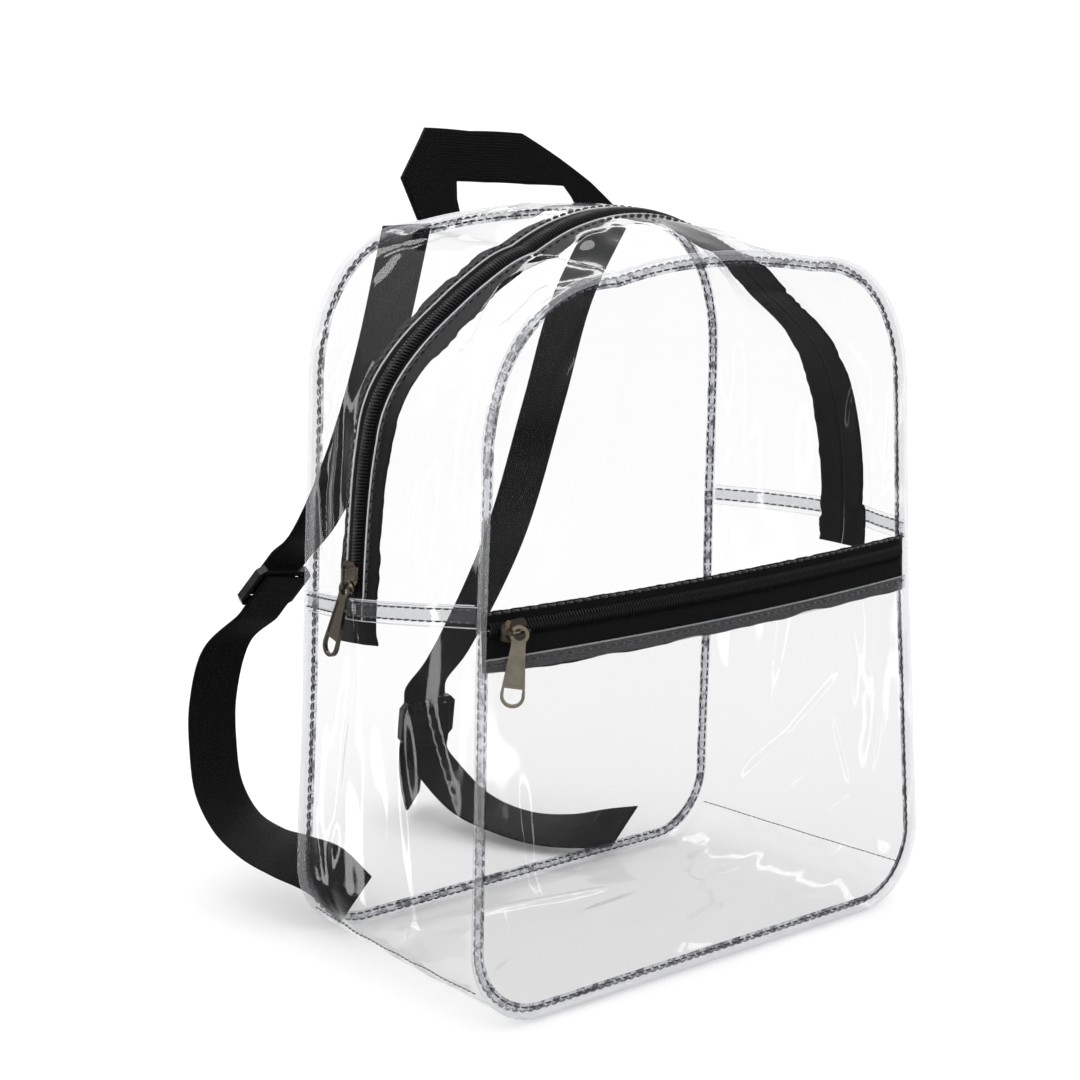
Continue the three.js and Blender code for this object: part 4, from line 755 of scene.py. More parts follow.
def sewn_fold_with_painted_shade(name):
    """Film folded under a seam: clear, with dark blotches that paint the shade in the folded film as well as
    the dark thread seen through it.
    """
    material, tree = start_material(name)
    place = add_node(tree, "ShaderNodeTexCoord").outputs["Object"]
    # blotches about 5 mm long, broken up by specks of about 1 mm
    blotch = add_node(tree, "ShaderNodeTexNoise", {"Vector": place, "Scale": 210.0, "Detail": 1.0})
    speck = add_node(tree, "ShaderNodeTexNoise", {"Vector": place, "Scale": 1000.0, "Detail": 1.0})
    both = add_node(tree, "ShaderNodeMath", {0: speck.outputs["Fac"], 1: 0.5, 2: blotch.outputs["Fac"]},
                    operation="MULTIPLY_ADD")
    painted_shade_cover = add_node(tree, "ShaderNodeMapRange",
                     {"Value": both.outputs[0], 1: 0.68, 2: 0.9, 3: 0.05, 4: 0.8})
    through = add_node(tree, "ShaderNodeBsdfTransparent", {"Color": srgb("#E2E3E7")})
    # painted shade: this near-black surface in the blotches stands for shade in the folded film, together
    # with the thread behind it
    dark = add_node(tree, "ShaderNodeBsdfPrincipled", {
        "Base Color": srgb("#24242B"), "Roughness": 0.35, "IOR": 1.5})
    surface = add_node(tree, "ShaderNodeMixShader",
                       {0: painted_shade_cover.outputs[0], 1: through.outputs[0], 2: dark.outputs[0]})
    end_material(tree, surface.outputs[0])
    return material


# Clear sheet of about 0.5 mm: nearly colourless face on, cool grey seen along its surface
FILM = pvc_film("clear PVC film, calendered", "#FAFAFA", "#D6D8DA", 0.6, 0.0015, 0.07)
# The film's turned-in edges in a seam, with painted shade of the fold and the dark thread behind them
SEWN_FOLD_WITH_PAINTED_SHADE = sewn_fold_with_painted_shade("clear PVC film, folded into a seam, painted shade")
# Extruded clear piping: milky white face on, with grey sides
PIPING = pvc_film("clear PVC piping, extruded", "#F6F6F7", "#8F9298", 0.15, 0.10)
# A knife-cut film edge scatters light and reads as a pale line
CUT_EDGE = pvc_film("clear PVC film, cut edge", "#E4E6E9", "#C9CCD1", 0.1, 0.45, 0.2)
# Two films with air between them: haze makes a light grey band
DOUBLED_FILM = pvc_film("clear PVC film, doubled in a lap", "#DFE0E2", "#BFC1C5", 0.3, 0.05, 0.1)
# The hem of the pocket film lies close on the black tape and reads as a duller line
HEM_EDGE = pvc_film("clear PVC film, turned hem", "#D8DADD", "#A9ACB1", 0.1, 0.16, 0.2)
# Polyester zip tape: fine warp-knit columns 0.7 mm apart
TAPE = woven("black polyester zip tape, woven", "#040405", "#121214", 0.7, 0.9, 0.4, 0.75, 0.02)
# Nylon coil, moulded smooth with a dull shine
COIL = moulded("black nylon coil, formed", "#060607", 0.5, 1.53, 0.1, worn="#0D0D0F", wear=0.4, gloss=0.3)
# Polypropylene webbing: ribs 1.3 mm apart across the width, picks 1.1 mm apart along it
WEB = woven("black polypropylene webbing, woven", "#020203", "#0D0D0E", 1.3, 1.1, 0.9, 0.62, 0.015)
# Acetal adjusters from a fine-grained mould: near black with soft highlights on the rounded rims
ADJUSTER = moulded("black acetal, moulded", "#080809", 0.3, 1.48, 0.25, worn="#101012", wear=0.5)
# Dull nickel plate on die-cast zinc: warm mid grey faces, with bright lines where its edges are rounded
NICKEL = moulded("nickel plate on zinc, barrel-polished", "#A79E8F", 0.15, 1.5, 0.12, 1.0, "#857C6E", 0.6)
# Thread in the clear seams: charcoal, so single stitches stand out against the film
THREAD_DARK = spun_thread("dark grey polyester thread, corespun", "#15151A", "#3E3E48")
# Thread on the black tape and webbing: only its dull shine tells it from the cloth
THREAD_BLACK = spun_thread("black polyester thread, corespun", "#060607", "#1C1C1F")


def seam_edge_x(seam, side, z):
    _, x, z_of = half_seam(seam, side)
    above_run = RUN_BOTTOM_END * FINE
    return np.interp(z, z_of[above_run:], x[above_run:])


# The crown's last row stops this far short of its peak, where the panel's two sides meet
TIP = 0.02


def panel_grid(seam, low, high, rows, columns, face_y, ease):
    """Rows of points between the two sides of a seam. ease packs rows towards the curved ends."""
    share = np.linspace(0, 1, rows)
    eased = {
        "top": np.sin(share * math.pi / 2),
        "bottom": 1 - np.cos(share * math.pi / 2),
        "both": (1 - np.cos(share * math.pi)) / 2,
    }[ease]
    z = low + (high - low) * eased
    left = -seam_edge_x(seam, "left", z)
    right = seam_edge_x(seam, "right", z)
    across = np.linspace(0, 1, columns)
    x = left[:, None] * (1 - across) + right[:, None] * across
    z = np.broadcast_to(z[:, None], x.shape)
    return np.stack([x, face_y(x, z), z], axis=-1)


def film_panels():
    upper = panel_grid(FRONT_SEAM, UPPER_HEM_Z, FRONT_HEIGHT - TIP, 110, 170, front_y, "top")
    lower = panel_grid(FRONT_SEAM, BOTTOM_Z, LOWER_HEM_Z, 120, 170, front_y, "bottom")
    divider = panel_grid(FRONT_SEAM, BOTTOM_Z, FRONT_TAPE_TOP_Z, 70, 80, divider_y, "bottom")
    back = panel_grid(BACK_SEAM, BOTTOM_Z, BACK_HEIGHT - TIP, 170, 150, back_y, "both")
    film_piece("front_film_upper", upper, "front_panel_upper")
    film_piece("front_film_lower", lower, "front_panel_lower")
    film_piece("pocket_film", divider, "pocket_divider")
    film_piece("back_film", back, "back_panel")


def band(first, last, front, back, offset, columns, per_station=12):
    """Rows of points between two stations. front and back are distances from the main zip, or None
    at a seam."""
    station = np.linspace(first, last, int((last - first) * per_station) + 1)
    front = np.zeros_like(station) if front is None else zip_share(station, front)
    back = np.ones_like(station) if back is None else zip_share(station, back)
    share = np.linspace(0, 1, columns)
    return gusset(station[:, None], front[:, None] * (1 - share) + back[:, None] * share, offset)


def film_gusset():
    lip = ZIP_OPENING / 2
    front = band(LAP_LOW, ROUND - LAP_LOW, None, -lip, UPPER_FILM, 44)
    back = band(LAP_LOW, ROUND - LAP_LOW, lip, None, UPPER_FILM, 44)
    lower = band(-LAP_HIGH, LAP_HIGH, None, None, LOWER_FILM, 100)
    film_piece("zip_band_film_front", front, "gusset_upper_front")
    film_piece("zip_band_film_back", back, "gusset_upper_back")
    film_piece("side_and_bottom_film", lower, "gusset_lower")


def seam_line(loop, inwards, outwards_y):
    """The seam moved towards the panel's middle and along Y, with its outward direction."""
    x = loop["x"] - loop["nx"] * inwards
    z = loop["z"] - loop["nz"] * inwards
    return np.stack([x, loop["y"] + outwards_y, z], axis=-1)


def loop_out(loop):
    return np.stack([loop["nx"], np.zeros_like(loop["nx"]), loop["nz"]], axis=-1)


def pipings():
    for name, loop, node in (("front", FRONT_LOOP, "front_piping"), ("back", BACK_LOOP, "back_piping")):
        path = seam_line(loop, 0, 0)
        waver = np.array([noise.noise((p[0] / 35, 4.2, p[2] / 35)) for p in path])
        path = path + loop_out(loop) * (0.35 * waver)[:, None]
        piece = tube_piece(f"{name}_piping_cord", path, loop_out(loop), PIPING_RADIUS, PIPING,
                           14, closed=True)
        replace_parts(piece, node)


def close_path(path):
    return np.concatenate([path, path[:1]])


def beside_seam(loop, way, inwards, behind):
    """A line inside the bag beside a seam, inwards from the side band and behind the panel."""
    path = seam_line(loop, inwards, 0)
    path[:, 1] = loop["y"] - way * behind
    return path


def seam_folds_and_stitches():
    """The films' turned-in edges lie against the panel and the side band, with a row of stitches on each."""
    for name, loop, way in (("front", FRONT_LOOP, -1), ("back", BACK_LOOP, 1)):
        on_panel = [(reach, SEAM_EDGE) for reach in (FOLD_ON_PANEL, NEEDLE_ROW, SEAM_EDGE + 0.6)]
        on_side = [(SEAM_EDGE, reach) for reach in (SEAM_EDGE + 0.6, BOBBIN_ROW, FOLD_ON_SIDE)]
        fold = np.stack([beside_seam(loop, way, *place) for place in on_panel + on_side], axis=1)
        sheet_piece(f"{name}_seam_fold", fold, SEWN_FOLD_WITH_PAINTED_SHADE, close_rows=True)
        facing = np.broadcast_to(np.array([0.0, float(way), 0.0]), (len(loop["x"]), 3))
        for row, path, out in (
                ("needle", beside_seam(loop, way, NEEDLE_ROW, SEAM_EDGE - 0.3), facing),
                ("bobbin", beside_seam(loop, way, SEAM_EDGE - 0.3, BOBBIN_ROW), loop_out(loop))):
            stitch_piece(f"{name}_{row}_stitches", close_path(path), close_path(out), THREAD_DARK)


def gusset_line(station, deep, offset, lift=1.0):
    """A line on the side band, and the directions away from the band along it."""
    path = gusset(station, deep, offset)
    return path, unit(gusset(station, deep, offset + lift) - path)


def corner_seams():
    """A row of small stitches crosses the side band where it turns under the bag."""
    deep = np.linspace(0.04, 0.96, 80)
    for name, station in (("right", CORNER_SEAM), ("left", ROUND - CORNER_SEAM)):
        path, out = gusset_line(np.full_like(deep, station), deep, LOWER_FILM + 0.1, 0.9)
        stitch_piece(f"{name}_corner_stitches", path, out, THREAD_DARK, 2.6, 0.5, 0.28)


def lap_details():
    """The lower band laps 9 mm over the upper bands. On the right the lap is quiet, and on the left its
    cut edge catches the light above two rows of stitches."""
    deep = np.linspace(0.015, 0.985, 90)
    for side, lap_low, lap_high, edge_size in (
            ("right", LAP_LOW, LAP_HIGH, 0.1), ("left", ROUND - LAP_LOW, ROUND - LAP_HIGH, 0.25)):
        step = lap_high - lap_low
        for row, share in (("upper", 0.8), ("lower", 0.25)):
            path, out = gusset_line(np.full_like(deep, lap_low + step * share), deep, LOWER_FILM + 0.15)
            stitch_piece(f"{side}_lap_{row}_stitches", path, out, THREAD_DARK)
        edges = [("upper", lap_high, LOWER_FILM), ("lower", lap_low, UPPER_FILM)]
        if side == "left":
            edges.append(("second", lap_low + step * 0.9, UPPER_FILM))
        for edge, station, offset in edges:
            path, out = gusset_line(np.full_like(deep, float(station)), deep, offset)
            tube_piece(f"{side}_lap_{edge}_edge", path, out, edge_size, CUT_EDGE, 6)
        station = np.linspace(lap_low + step * 0.2, lap_low + step * 0.85, 4)[:, None]
        doubled = gusset(station, deep[None, :], UPPER_FILM + 0.6)
        sheet_piece(f"{side}_lap_double_film", doubled, DOUBLED_FILM)


def main_zip_line(first, last, offset):
    """Even steps along the middle of the main zip: centres, directions across and outwards."""
    station = np.linspace(first, last, 1200)
    centre, out = gusset_line(station, zip_share(station, 0.0), offset)
    across = unit(gusset(station, zip_share(station, 1.0), offset) - centre)
    return centre, across, out


def front_zip_line(inset, behind):
    """The same for the front zip, which starts and ends at an inset from the side seams."""
    left = -seam_edge_x(FRONT_SEAM, "left", FRONT_ZIP_Z) + inset
    right = seam_edge_x(FRONT_SEAM, "right", FRONT_ZIP_Z) - inset
    x = np.linspace(left, right, 400)
    z = np.full_like(x, FRONT_ZIP_Z)
    centre = np.stack([x, front_y(x, z, False) + behind, z], axis=-1)
    across = np.broadcast_to(np.array([0.0, 0.0, 1.0]), centre.shape)
    out = unit(np.cross(tangents(centre), across))
    out = np.where(out[:, 1:2] > 0, -out, out)
    return centre, across, out


# One tooth: towards its own side, outwards, and the wire's radius, in mm from the middle of the zip
TOOTH_PITCH = 1.4
TOOTH_PATH = [
    (-2.9, 0.15, 0.5), (-2.5, 1.15, 0.5), (-1.4, 1.6, 0.52),
    (-0.2, 1.62, 0.62), (0.75, 1.2, 0.58), (1.0, 0.5, 0.4),
]
TOOTH_SLANT = 0.12
WIRE_SIDES = 6


def coil_piece(name, centre, across, out, node):
    """Interlocking turns of the coil: each arches from its own side over the middle of the zip."""
    count = int(path_length(centre) / TOOTH_PITCH)
    tooth = np.array(TOOTH_PATH)
    aside, rise, wire = (tooth[:, k][None, :, None] for k in range(3))
    slope = np.gradient(tooth[:, :2], axis=0)
    slope = slope / np.linalg.norm(slope, axis=1, keepdims=True)
    lean, climb = (slope[:, k][None, :, None] for k in range(2))
    turn = round_points(WIRE_SIDES)
    everything = []
    for side, shift in ((-1, 0.0), (1, 0.5)):
        distance = (np.arange(count) + 0.25 + shift) * TOOTH_PITCH
        base = along_path(centre, centre, distance)[:, None]
        axis = unit(along_path(centre, tangents(centre), distance))[:, None]
        wide = unit(along_path(centre, across, distance))[:, None] * -side
        up = unit(along_path(centre, out, distance))[:, None]
        spine = base + wide * aside + up * rise + axis * TOOTH_SLANT * aside
        normal = up * lean - wide * climb
        ring = np.cos(turn)[:, None] * normal[:, :, None] + np.sin(turn)[:, None] * axis[:, :, None]
        everything.append(spine[:, :, None] + ring * wire[..., None])
    points = np.concatenate(everything).reshape(-1, 3)
    piece = mesh_piece(name, points, repeated_faces(2 * count, len(tooth), WIRE_SIDES), COIL)
    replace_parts(piece, node)


def ruffle(distance, size, seed):
    return np.array([noise.noise((d / size, seed, 0.4)) for d in distance])


def tape_piece(name, columns, node):
    cloth = sheet_piece(name, np.stack(columns, axis=1), TAPE, thickness=TAPE_THICKNESS)
    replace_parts(cloth, node)


def main_zip():
    coil_piece("main_zip_teeth", *main_zip_line(COIL_END, ROUND - COIL_END, MAIN_COIL), "main_zip_coil")
    tape_station = np.linspace(TAIL_END, ROUND - TAIL_END, 520)
    film_station = np.linspace(LAP_LOW, ROUND - LAP_LOW, 520)
    along = np.linspace(0, 620, len(tape_station))
    for name, side in (("front", -1), ("back", 1)):
        wave = 1.7 * ruffle(along, 15.0, side * 3.3) + 0.5 * ruffle(along, 4.0, side * 5.1)
        columns = []
        for share in np.linspace(0, 1, 9):
            distance = side * (0.3 + (MAIN_TAPE_HALF - 0.8 + wave - 0.3) * share)
            lift = MAIN_TAPE - 0.6 * share * np.abs(wave) * (share > 0.5)
            columns.append(gusset(tape_station, zip_share(tape_station, distance), lift))
        tape_piece(f"main_zip_tape_{name}_cloth", columns, f"main_zip_tape_{name}")
        lip = side * ZIP_OPENING / 2
        edge, out = gusset_line(film_station, zip_share(film_station, lip), UPPER_FILM)
        tube_piece(f"main_zip_lip_{name}", edge, out, 0.36, CUT_EDGE, 8)
        row = side * (ZIP_OPENING / 2 + 2.2)
        path = gusset(film_station, zip_share(film_station, row), UPPER_FILM + 0.2)
        stitch_piece(f"main_zip_stitches_{name}", path, out, THREAD_DARK)


def on_front(x, z, behind):
    """Points behind the smooth front panel."""
    z = z + np.zeros_like(x)
    return np.stack(np.broadcast_arrays(x, front_y(x, z, False) + behind, z), axis=-1)


def front_zip():
    coil_piece("front_zip_teeth", *front_zip_line(3.0, 1.2), "front_zip_coil")
    x = np.linspace(-seam_edge_x(FRONT_SEAM, "left", FRONT_ZIP_Z) + 0.5,
                    seam_edge_x(FRONT_SEAM, "right", FRONT_ZIP_Z) - 0.5, 520)
    # each tape: where it starts and ends above the coil, and the height and length of its edge's waves
    for name, near, far, amount, size in (("upper", 0.2, 7.5, 0.3, 1.3), ("lower", -0.2, -16.9, 1.3, 17.0)):
        wave = ruffle(x, size, far)
        fine = ruffle(x, 4.5, far + 1)
        columns = []
        for share in np.linspace(0, 1, 10):
            z = FRONT_ZIP_Z + near + (far + np.sign(far) * amount * wave - near) * share
            columns.append(on_front(x, z, 1.6 + 0.55 * share ** 2 * fine))
        tape_piece(f"front_zip_tape_{name}_cloth", columns, f"front_zip_tape_{name}")
    out = np.broadcast_to(np.array([0.0, -1.0, 0.0]), (len(x), 3))
    tube_piece("front_zip_lip_lower", on_front(x, LOWER_HEM_Z, 0), out, 0.4, HEM_EDGE, 8)
    hem = on_front(x, LOWER_HEM_Z - np.linspace(0, HEM_HEIGHT, 4)[:, None], -0.3)
    sheet_piece("front_zip_hem_film", hem, DOUBLED_FILM)
    for name, z in (("upper", UPPER_HEM_Z + 0.8), ("lower", LOWER_HEM_Z - 1.9)):
        stitch_piece(f"front_zip_stitches_{name}", on_front(x, z, -0.2), out, THREAD_BLACK)


def catmull(points, share, centripetal=True):
    """A smooth curve through points, at shares of its point count."""
    points = np.asarray(points, float)
    before = 2 * points[0] - points[1]
    after = 2 * points[-1] - points[-2]
    full = np.vstack([before, points, after])
    place = np.clip(share, 0, 1) * (len(points) - 1)
    first = np.minimum(place.astype(int), len(points) - 2)
    w = (place - first)[:, None]
    p0, p1, p2, p3 = (full[first + k] for k in range(4))
    if centripetal:
        d = [np.maximum(np.linalg.norm(b - a, axis=1) ** 0.5, 1e-4)[:, None]
             for a, b in ((p0, p1), (p1, p2), (p2, p3))]
        t1 = ((p1 - p0) / d[0] - (p2 - p0) / (d[0] + d[1]) + (p2 - p1) / d[1]) * d[1]
        t2 = ((p2 - p1) / d[1] - (p3 - p1) / (d[1] + d[2]) + (p3 - p2) / d[2]) * d[1]
    else:
        t1 = (p2 - p0) / 2
        t2 = (p3 - p1) / 2
    c2 = -3 * p1 + 3 * p2 - 2 * t1 - t2
    c3 = 2 * p1 - 2 * p2 + t1 + t2
    return p1 + t1 * w + c2 * w ** 2 + c3 * w ** 3


def webbing_piece(name, middle, width):
    """A ribbon of webbing along a path, with rounded selvedges and its lengths as uv in mm."""
    width = unit(width)
    normal = unit(np.cross(width, tangents(middle)))
    across = np.linspace(-0.44, 0.44, 9)
    top = [(share, 0.5) for share in across]
    under = [(share, -0.5) for share in across[::-1]]
    profile = np.array([(-0.5, 0.18), (-0.48, 0.42), *top, (0.48, 0.42), (0.5, 0.18),
                        (0.5, -0.18), (0.48, -0.42), *under, (-0.48, -0.42), (-0.5, -0.18)])
    side = profile[:, 0] * WEBBING
    rise = profile[:, 1] * WEBBING_THICKNESS
    points = middle[:, None] + width[:, None] * side[None, :, None] + normal[:, None] * rise[None, :, None]
    uv = np.stack(np.broadcast_arrays(lengths_along(middle)[:, None], side[None, :]), axis=-1).reshape(-1, 2)
    faces = capped_faces(len(middle), len(profile))
    return mesh_piece(name, points.reshape(-1, 3), faces, WEB, uv)


def strap_section(row):
    across, behind, up, roll = row
    z = up * BACK_HEIGHT
    y = float(seam_y("back", z, BACK_HEIGHT)) + STRAP_BEHIND + behind * STRAP_REACH
    turn = math.radians(roll)
    return (np.array([across * BACK_HALF_TOP, y, z]), np.array([math.cos(turn), 0.0, math.sin(turn)]))


def adjuster_frame(route):
    above = strap_section(route["upper"][-1])[0]
    below = strap_section(route["lower"][0])[0]
    middle, width = strap_section(route["adjuster"])
    down = unit(below - above)
    across = unit(width - down * float(width @ down))
    face = unit(np.cross(across, down))
    return middle, down, across, face if face[1] > 0 else -face


# Distances from the adjuster's middle: out to the webbing, then along it to the webbing's folded end,
# to where it leaves the frame, and to where it is free of it
ADJUSTER_STACK = ADJUSTER_THICKNESS / 2 + 0.3 + WEBBING_THICKNESS / 2
STRAP_OVER = ADJUSTER_LENGTH / 2 - ADJUSTER_RIM
STRAP_STRAIGHT = ADJUSTER_LENGTH / 2
STRAP_LEAD = ADJUSTER_LENGTH / 2 + ADJUSTER_LEAD


def ribbon_from(name, sections, node):
    """A ribbon through sections, each with a middle and a width direction."""
    share = np.linspace(0, 1, (len(sections) - 1) * 16 + 1)
    middle = catmull([section[0] for section in sections], share)
    width = catmull([section[1] for section in sections], share, False)
    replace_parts(webbing_piece(name, middle, width), node)


def box_stitches(name, corners, out):
    """Four rows of stitches round a sewn-down end of webbing, and two across it."""
    rows = [(0, 1), (1, 2), (2, 3), (3, 0), (0, 2), (1, 3)]
    share = np.linspace(0, 1, 24)[:, None]
    for number, (first, last) in enumerate(rows):
        path = corners[first] * (1 - share) + corners[last] * share
        stitch_piece(f"{name}_box_stitches_{number}", path, np.broadcast_to(out, path.shape), THREAD_BLACK,
                     2.4, 0.6, 0.34)


# The sewn box starts and ends this far from the webbing's end
BOX_NEAR = 3
BOX_FAR = 18


def strap_end_box(name, end, towards, width, out):
    """The sewn box at the end of a strap, on its outer face."""
    lift = out * (WEBBING_THICKNESS / 2 + 0.15)
    half = width * (WEBBING / 2 - BOX_NEAR)
    near = end + towards * BOX_NEAR + lift
    far = end + towards * BOX_FAR + lift
    box_stitches(name, [near - half, near + half, far + half, far - half], out)


def straps():
    for side, route in STRAP_ROUTES.items():
        middle, down, across, face = adjuster_frame(route)
        over = middle + face * ADJUSTER_STACK
        under = middle - face * ADJUSTER_STACK
        upper = [strap_section(row) for row in route["upper"]]
        upper += [(over + down * away, across) for away in (-STRAP_LEAD, -STRAP_STRAIGHT, STRAP_OVER)]
        ribbon_from(f"strap_webbing_upper_{side}", upper, f"strap_upper_{side}")
        lower = [(under + down * away, across) for away in (-STRAP_OVER, STRAP_STRAIGHT, STRAP_LEAD)]
        lower += [strap_section(row) for row in route["lower"]]
        ribbon_from(f"strap_webbing_lower_{side}", lower, f"strap_lower_{side}")
        for end, ribbon in (("top", upper[:2]), ("foot", lower[:-3:-1])):
            (start, width), (following, _) = ribbon
            along = unit(following - start)
            out = unit(np.cross(along, width))
            out = out if out[1] > 0 else -out
            strap_end_box(f"strap_{end}_{side}", start, along, unit(width), out)
        if side == "right":
            start = over + down * (STRAP_OVER + 0.3)
            tail = []
            for along, away, fall, turn in TAIL_ROUTE:
                place = start + down * along * TAIL_LENGTH + face * away * TAIL_LENGTH
                turned = Matrix.Rotation(-math.radians(turn), 3, Vector(down)) @ Vector(across)
                tail.append((place - np.array([0, 0, fall * TAIL_LENGTH]), np.array(turned)))
            ribbon_from("strap_webbing_tail_right", tail, "strap_tail_right")


def handle_foot_z(x):
    run = BACK_HALF_TOP - BACK_SEAM["corner_width"]
    return BACK_HEIGHT - CROWN_DROP * np.clip(np.abs(x) / run, 0, 1) ** 2 + PIPING_RADIUS + 0.3


def grab_handle():
    table = np.array(HANDLE_SECTIONS)
    share = np.linspace(0, len(table) - 1, 113)
    rows = np.stack([np.interp(share, np.arange(len(table)), table[:, k]) for k in range(4)], axis=-1)
    wide = np.linspace(0, 1, 12)
    across = rows[:, 0:1] * (1 - wide) + rows[:, 2:3] * wide
    up = rows[:, 1:2] * (1 - wide) + rows[:, 3:4] * wide
    x = HANDLE_CENTRE + across * HANDLE_HALF_SPAN
    y = float(seam_y("back", BACK_HEIGHT, BACK_HEIGHT)) - HANDLE_LEAN * up
    grid = np.stack([x, y, handle_foot_z(x) + up * HANDLE_RISE], axis=-1)
    piece = sheet_piece("handle_webbing", grid, WEB, thickness=WEBBING_THICKNESS)
    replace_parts(piece, "grab_handle")


# Radius worn on the edges of the cast and moulded pieces
EDGE_ROUNDING = 0.25


def finish_hardware():
    """The metal and moulded pieces keep their solids, with a material and rounded edges."""
    for node, material in (("front_slider", NICKEL), ("main_slider", NICKEL), ("front_pull", NICKEL),
                           ("main_pull", NICKEL), ("strap_adjuster_left", ADJUSTER),
                           ("strap_adjuster_right", ADJUSTER)):
        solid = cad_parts[node]
        for place in solid.material_slots:
            place.material = material
        bevel = solid.modifiers.new("rounded edges", "BEVEL")
        bevel.width = EDGE_ROUNDING * MM
        bevel.segments = 2
        bevel.limit_method = "ANGLE"
        bevel.angle_limit = math.radians(40)


# Floor, in metres: wide enough to meet the background, just under the piping
FLOOR_HALF = 40.0
FLOOR_Z = -0.0006


def floor_piece():
    """Uncoated white paper, calendered dull: an even near-white that takes soft shadows and no gloss."""
    mesh = bpy.data.meshes.new("floor")
    corners = [(x * FLOOR_HALF, y * FLOOR_HALF, 0) for x, y in ((-1, -1), (1, -1), (1, 1), (-1, 1))]
    mesh.from_pydata(corners, [], [(0, 1, 2, 3)])
    material, tree = start_material("matte white paper sweep")
    place = add_node(tree, "ShaderNodeTexCoord").outputs["Object"]
    cloud = add_node(tree, "ShaderNodeTexNoise", {"Vector": place, "Scale": 3.0})
    tone = add_node(tree, "ShaderNodeMix", {0: cloud.outputs["Fac"], 6: srgb("#F7F7F7"), 7: srgb("#F9F9F9")},
                    data_type="RGBA")
    paper = add_node(tree, "ShaderNodeBsdfPrincipled",
                     {"Base Color": tone.outputs[2], "Roughness": 0.9, "Specular IOR Level": 0.1})
    end_material(tree, paper.outputs[0])
    mesh.materials.append(material)
    floor = bpy.data.objects.new("floor", mesh)
    floor.location.z = FLOOR_Z
    floor.visible_glossy = False
    bpy.context.scene.collection.objects.link(floor)


# Lamps: place and size in metres, brightness of the lamp's face, and whether it only shows in gloss
LAMPS = [
    ("key_box", (-1.5, -1.2, 1.6), (0.9, 0.9), 2.0, False),
    ("left_strip_near", (-1.75, 0.6, 0.2), (0.16, 2.2), 5.5, True),
    ("left_strip_far", (-0.9, 1.8, 0.2), (0.22, 2.2), 5.0, True),
    ("left_box", (-1.6, 0.9, 1.0), (0.5, 0.6), 4.0, True),
    ("front_strip_near", (0.45, -1.8, 0.2), (0.1, 2.2), 4.5, True),
    ("front_strip_far", (1.75, -0.8, 0.1), (0.14, 2.2), 2.6, True),
    ("front_box", (1.0, -1.3, 1.3), (0.5, 0.5), 3.4, True),
    ("overhead_box", (-0.2, 0.4, 1.7), (0.8, 0.5), 6.0, True),
    ("overhead_strip", (0.5, 1.3, 1.2), (1.6, 0.2), 6.0, True),
    ("camera_card", (-1.25, -1.45, -0.1), (1.0, 0.8), 0.4, True),
    ("camera_strip", (-1.75, -0.75, 0.3), (0.12, 1.2), 4.0, True),
]


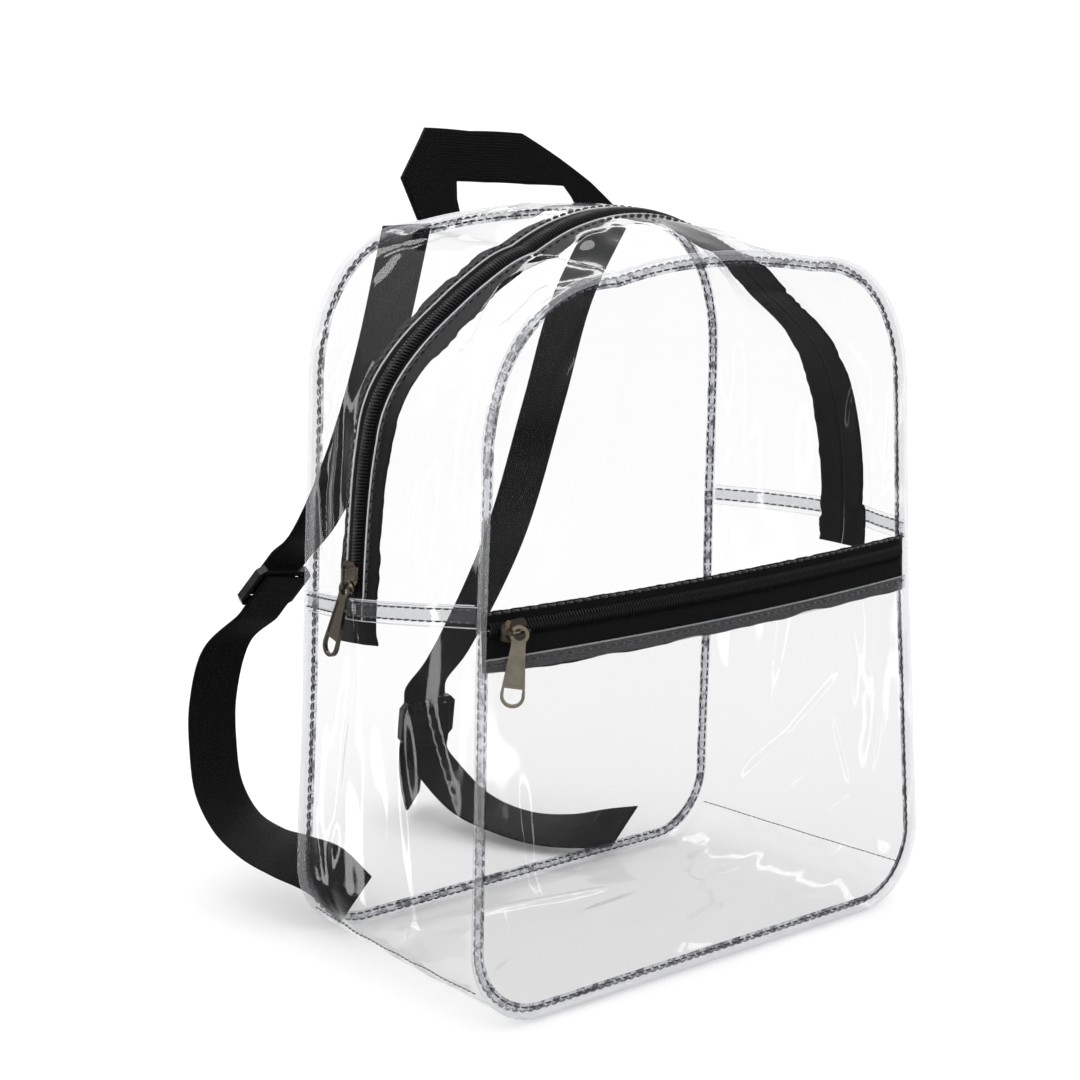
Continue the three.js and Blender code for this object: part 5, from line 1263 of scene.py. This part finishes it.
def studio():
    for name, place, (wide, tall), bright, gloss_only in LAMPS:
        lamp = bpy.data.lights.new(name, "AREA")
        lamp.shape = "RECTANGLE"
        lamp.size = wide
        lamp.size_y = tall
        lamp.energy = bright * math.pi * wide * tall
        thing = bpy.data.objects.new(name, lamp)
        thing.location = place
        thing.rotation_euler = (Vector((0, 0, 0.16)) - Vector(place)).to_track_quat("-Z", "Y").to_euler()
        thing.visible_camera = False
        thing.visible_diffuse = not gloss_only
        bpy.context.scene.collection.objects.link(thing)
    glow = bpy.data.lights.new("ceiling_glow", "SUN")
    glow.energy = 0.5
    glow.angle = math.radians(120)
    bpy.context.scene.collection.objects.link(bpy.data.objects.new("ceiling_glow", glow))
    # a white cove lights the bag, while the dark room beyond the lamps is what its gloss mirrors
    world = bpy.data.worlds.new("studio")
    world.use_nodes = True
    tree = world.node_tree
    tree.nodes.clear()
    ray = add_node(tree, "ShaderNodeLightPath")
    way = add_node(tree, "ShaderNodeTexCoord").outputs["Generated"]
    upwards = add_node(tree, "ShaderNodeSeparateXYZ", {0: way}).outputs[2]
    height = add_node(tree, "ShaderNodeMapRange", {"Value": upwards, 1: -0.2, 2: 0.9})
    room = add_node(tree, "ShaderNodeMix", {0: height.outputs[0], 6: srgb("#58585A"), 7: srgb("#DCDCDE")},
                    data_type="RGBA")
    behind = add_node(tree, "ShaderNodeVectorMath", {0: way, 1: (0.62, 0.78, 0.0)}, operation="DOT_PRODUCT")
    cove = add_node(tree, "ShaderNodeMapRange", {"Value": behind.outputs["Value"], 1: 0.55, 2: 0.85})
    around = add_node(tree, "ShaderNodeMix", {0: cove.outputs[0], 6: room.outputs[2], 7: srgb("#FFFFFF")},
                      data_type="RGBA")
    # only gloss seen straight from the camera mirrors the room: light that reaches cloth and floor
    # stays white
    lit_first = add_node(tree, "ShaderNodeMath", {0: ray.outputs["Diffuse Depth"], 1: 0.5},
                         operation="LESS_THAN")
    mirror = add_node(tree, "ShaderNodeMath", {0: ray.outputs["Is Glossy Ray"], 1: lit_first.outputs[0]},
                      operation="MULTIPLY")
    shown = add_node(tree, "ShaderNodeMix",
                     {0: mirror.outputs[0], 6: srgb("#FFFFFF"), 7: around.outputs[2]}, data_type="RGBA")
    sky = add_node(tree, "ShaderNodeBackground", {"Color": shown.outputs[2], "Strength": 1.06})
    add_node(tree, "ShaderNodeOutputWorld", {"Surface": sky.outputs[0]})
    bpy.context.scene.world = world
    bpy.context.scene.view_settings.view_transform = "Standard"


# Camera: place in metres, turn and dip in degrees, lens in mm, shift in shares of the picture's width
CAMERA_PLACE = (-0.6485, -0.7534, 0.3744)
CAMERA_TURN = 40.48
CAMERA_DIP = 12.21
CAMERA_LENS = 78.5
CAMERA_SHIFT = (-0.0582, 0.0291)


def camera():
    turn = math.radians(-CAMERA_TURN)
    dip = math.radians(CAMERA_DIP)
    back = Vector((math.sin(turn) * math.cos(dip), -math.cos(turn) * math.cos(dip), math.sin(dip)))
    right = Vector((math.cos(turn), math.sin(turn), 0))
    up = back.cross(right)
    lens = bpy.data.cameras.new("camera")
    lens.lens = CAMERA_LENS
    lens.sensor_width = 36.0
    lens.shift_x, lens.shift_y = CAMERA_SHIFT
    lens.clip_start = 0.02
    lens.clip_end = 60.0
    eye = bpy.data.objects.new("camera", lens)
    turned = Matrix((right, up, back)).transposed().to_4x4()
    eye.matrix_world = Matrix.Translation(CAMERA_PLACE) @ turned
    bpy.context.scene.collection.objects.link(eye)
    bpy.context.scene.camera = eye


camera()
studio()
floor_piece()
film_panels()
film_gusset()
pipings()
seam_folds_and_stitches()
corner_seams()
lap_details()
main_zip()
front_zip()
straps()
grab_handle()
finish_hardware()

bpy.context.scene.cycles.transparent_max_bounces = 32
bpy.context.view_layer.update()
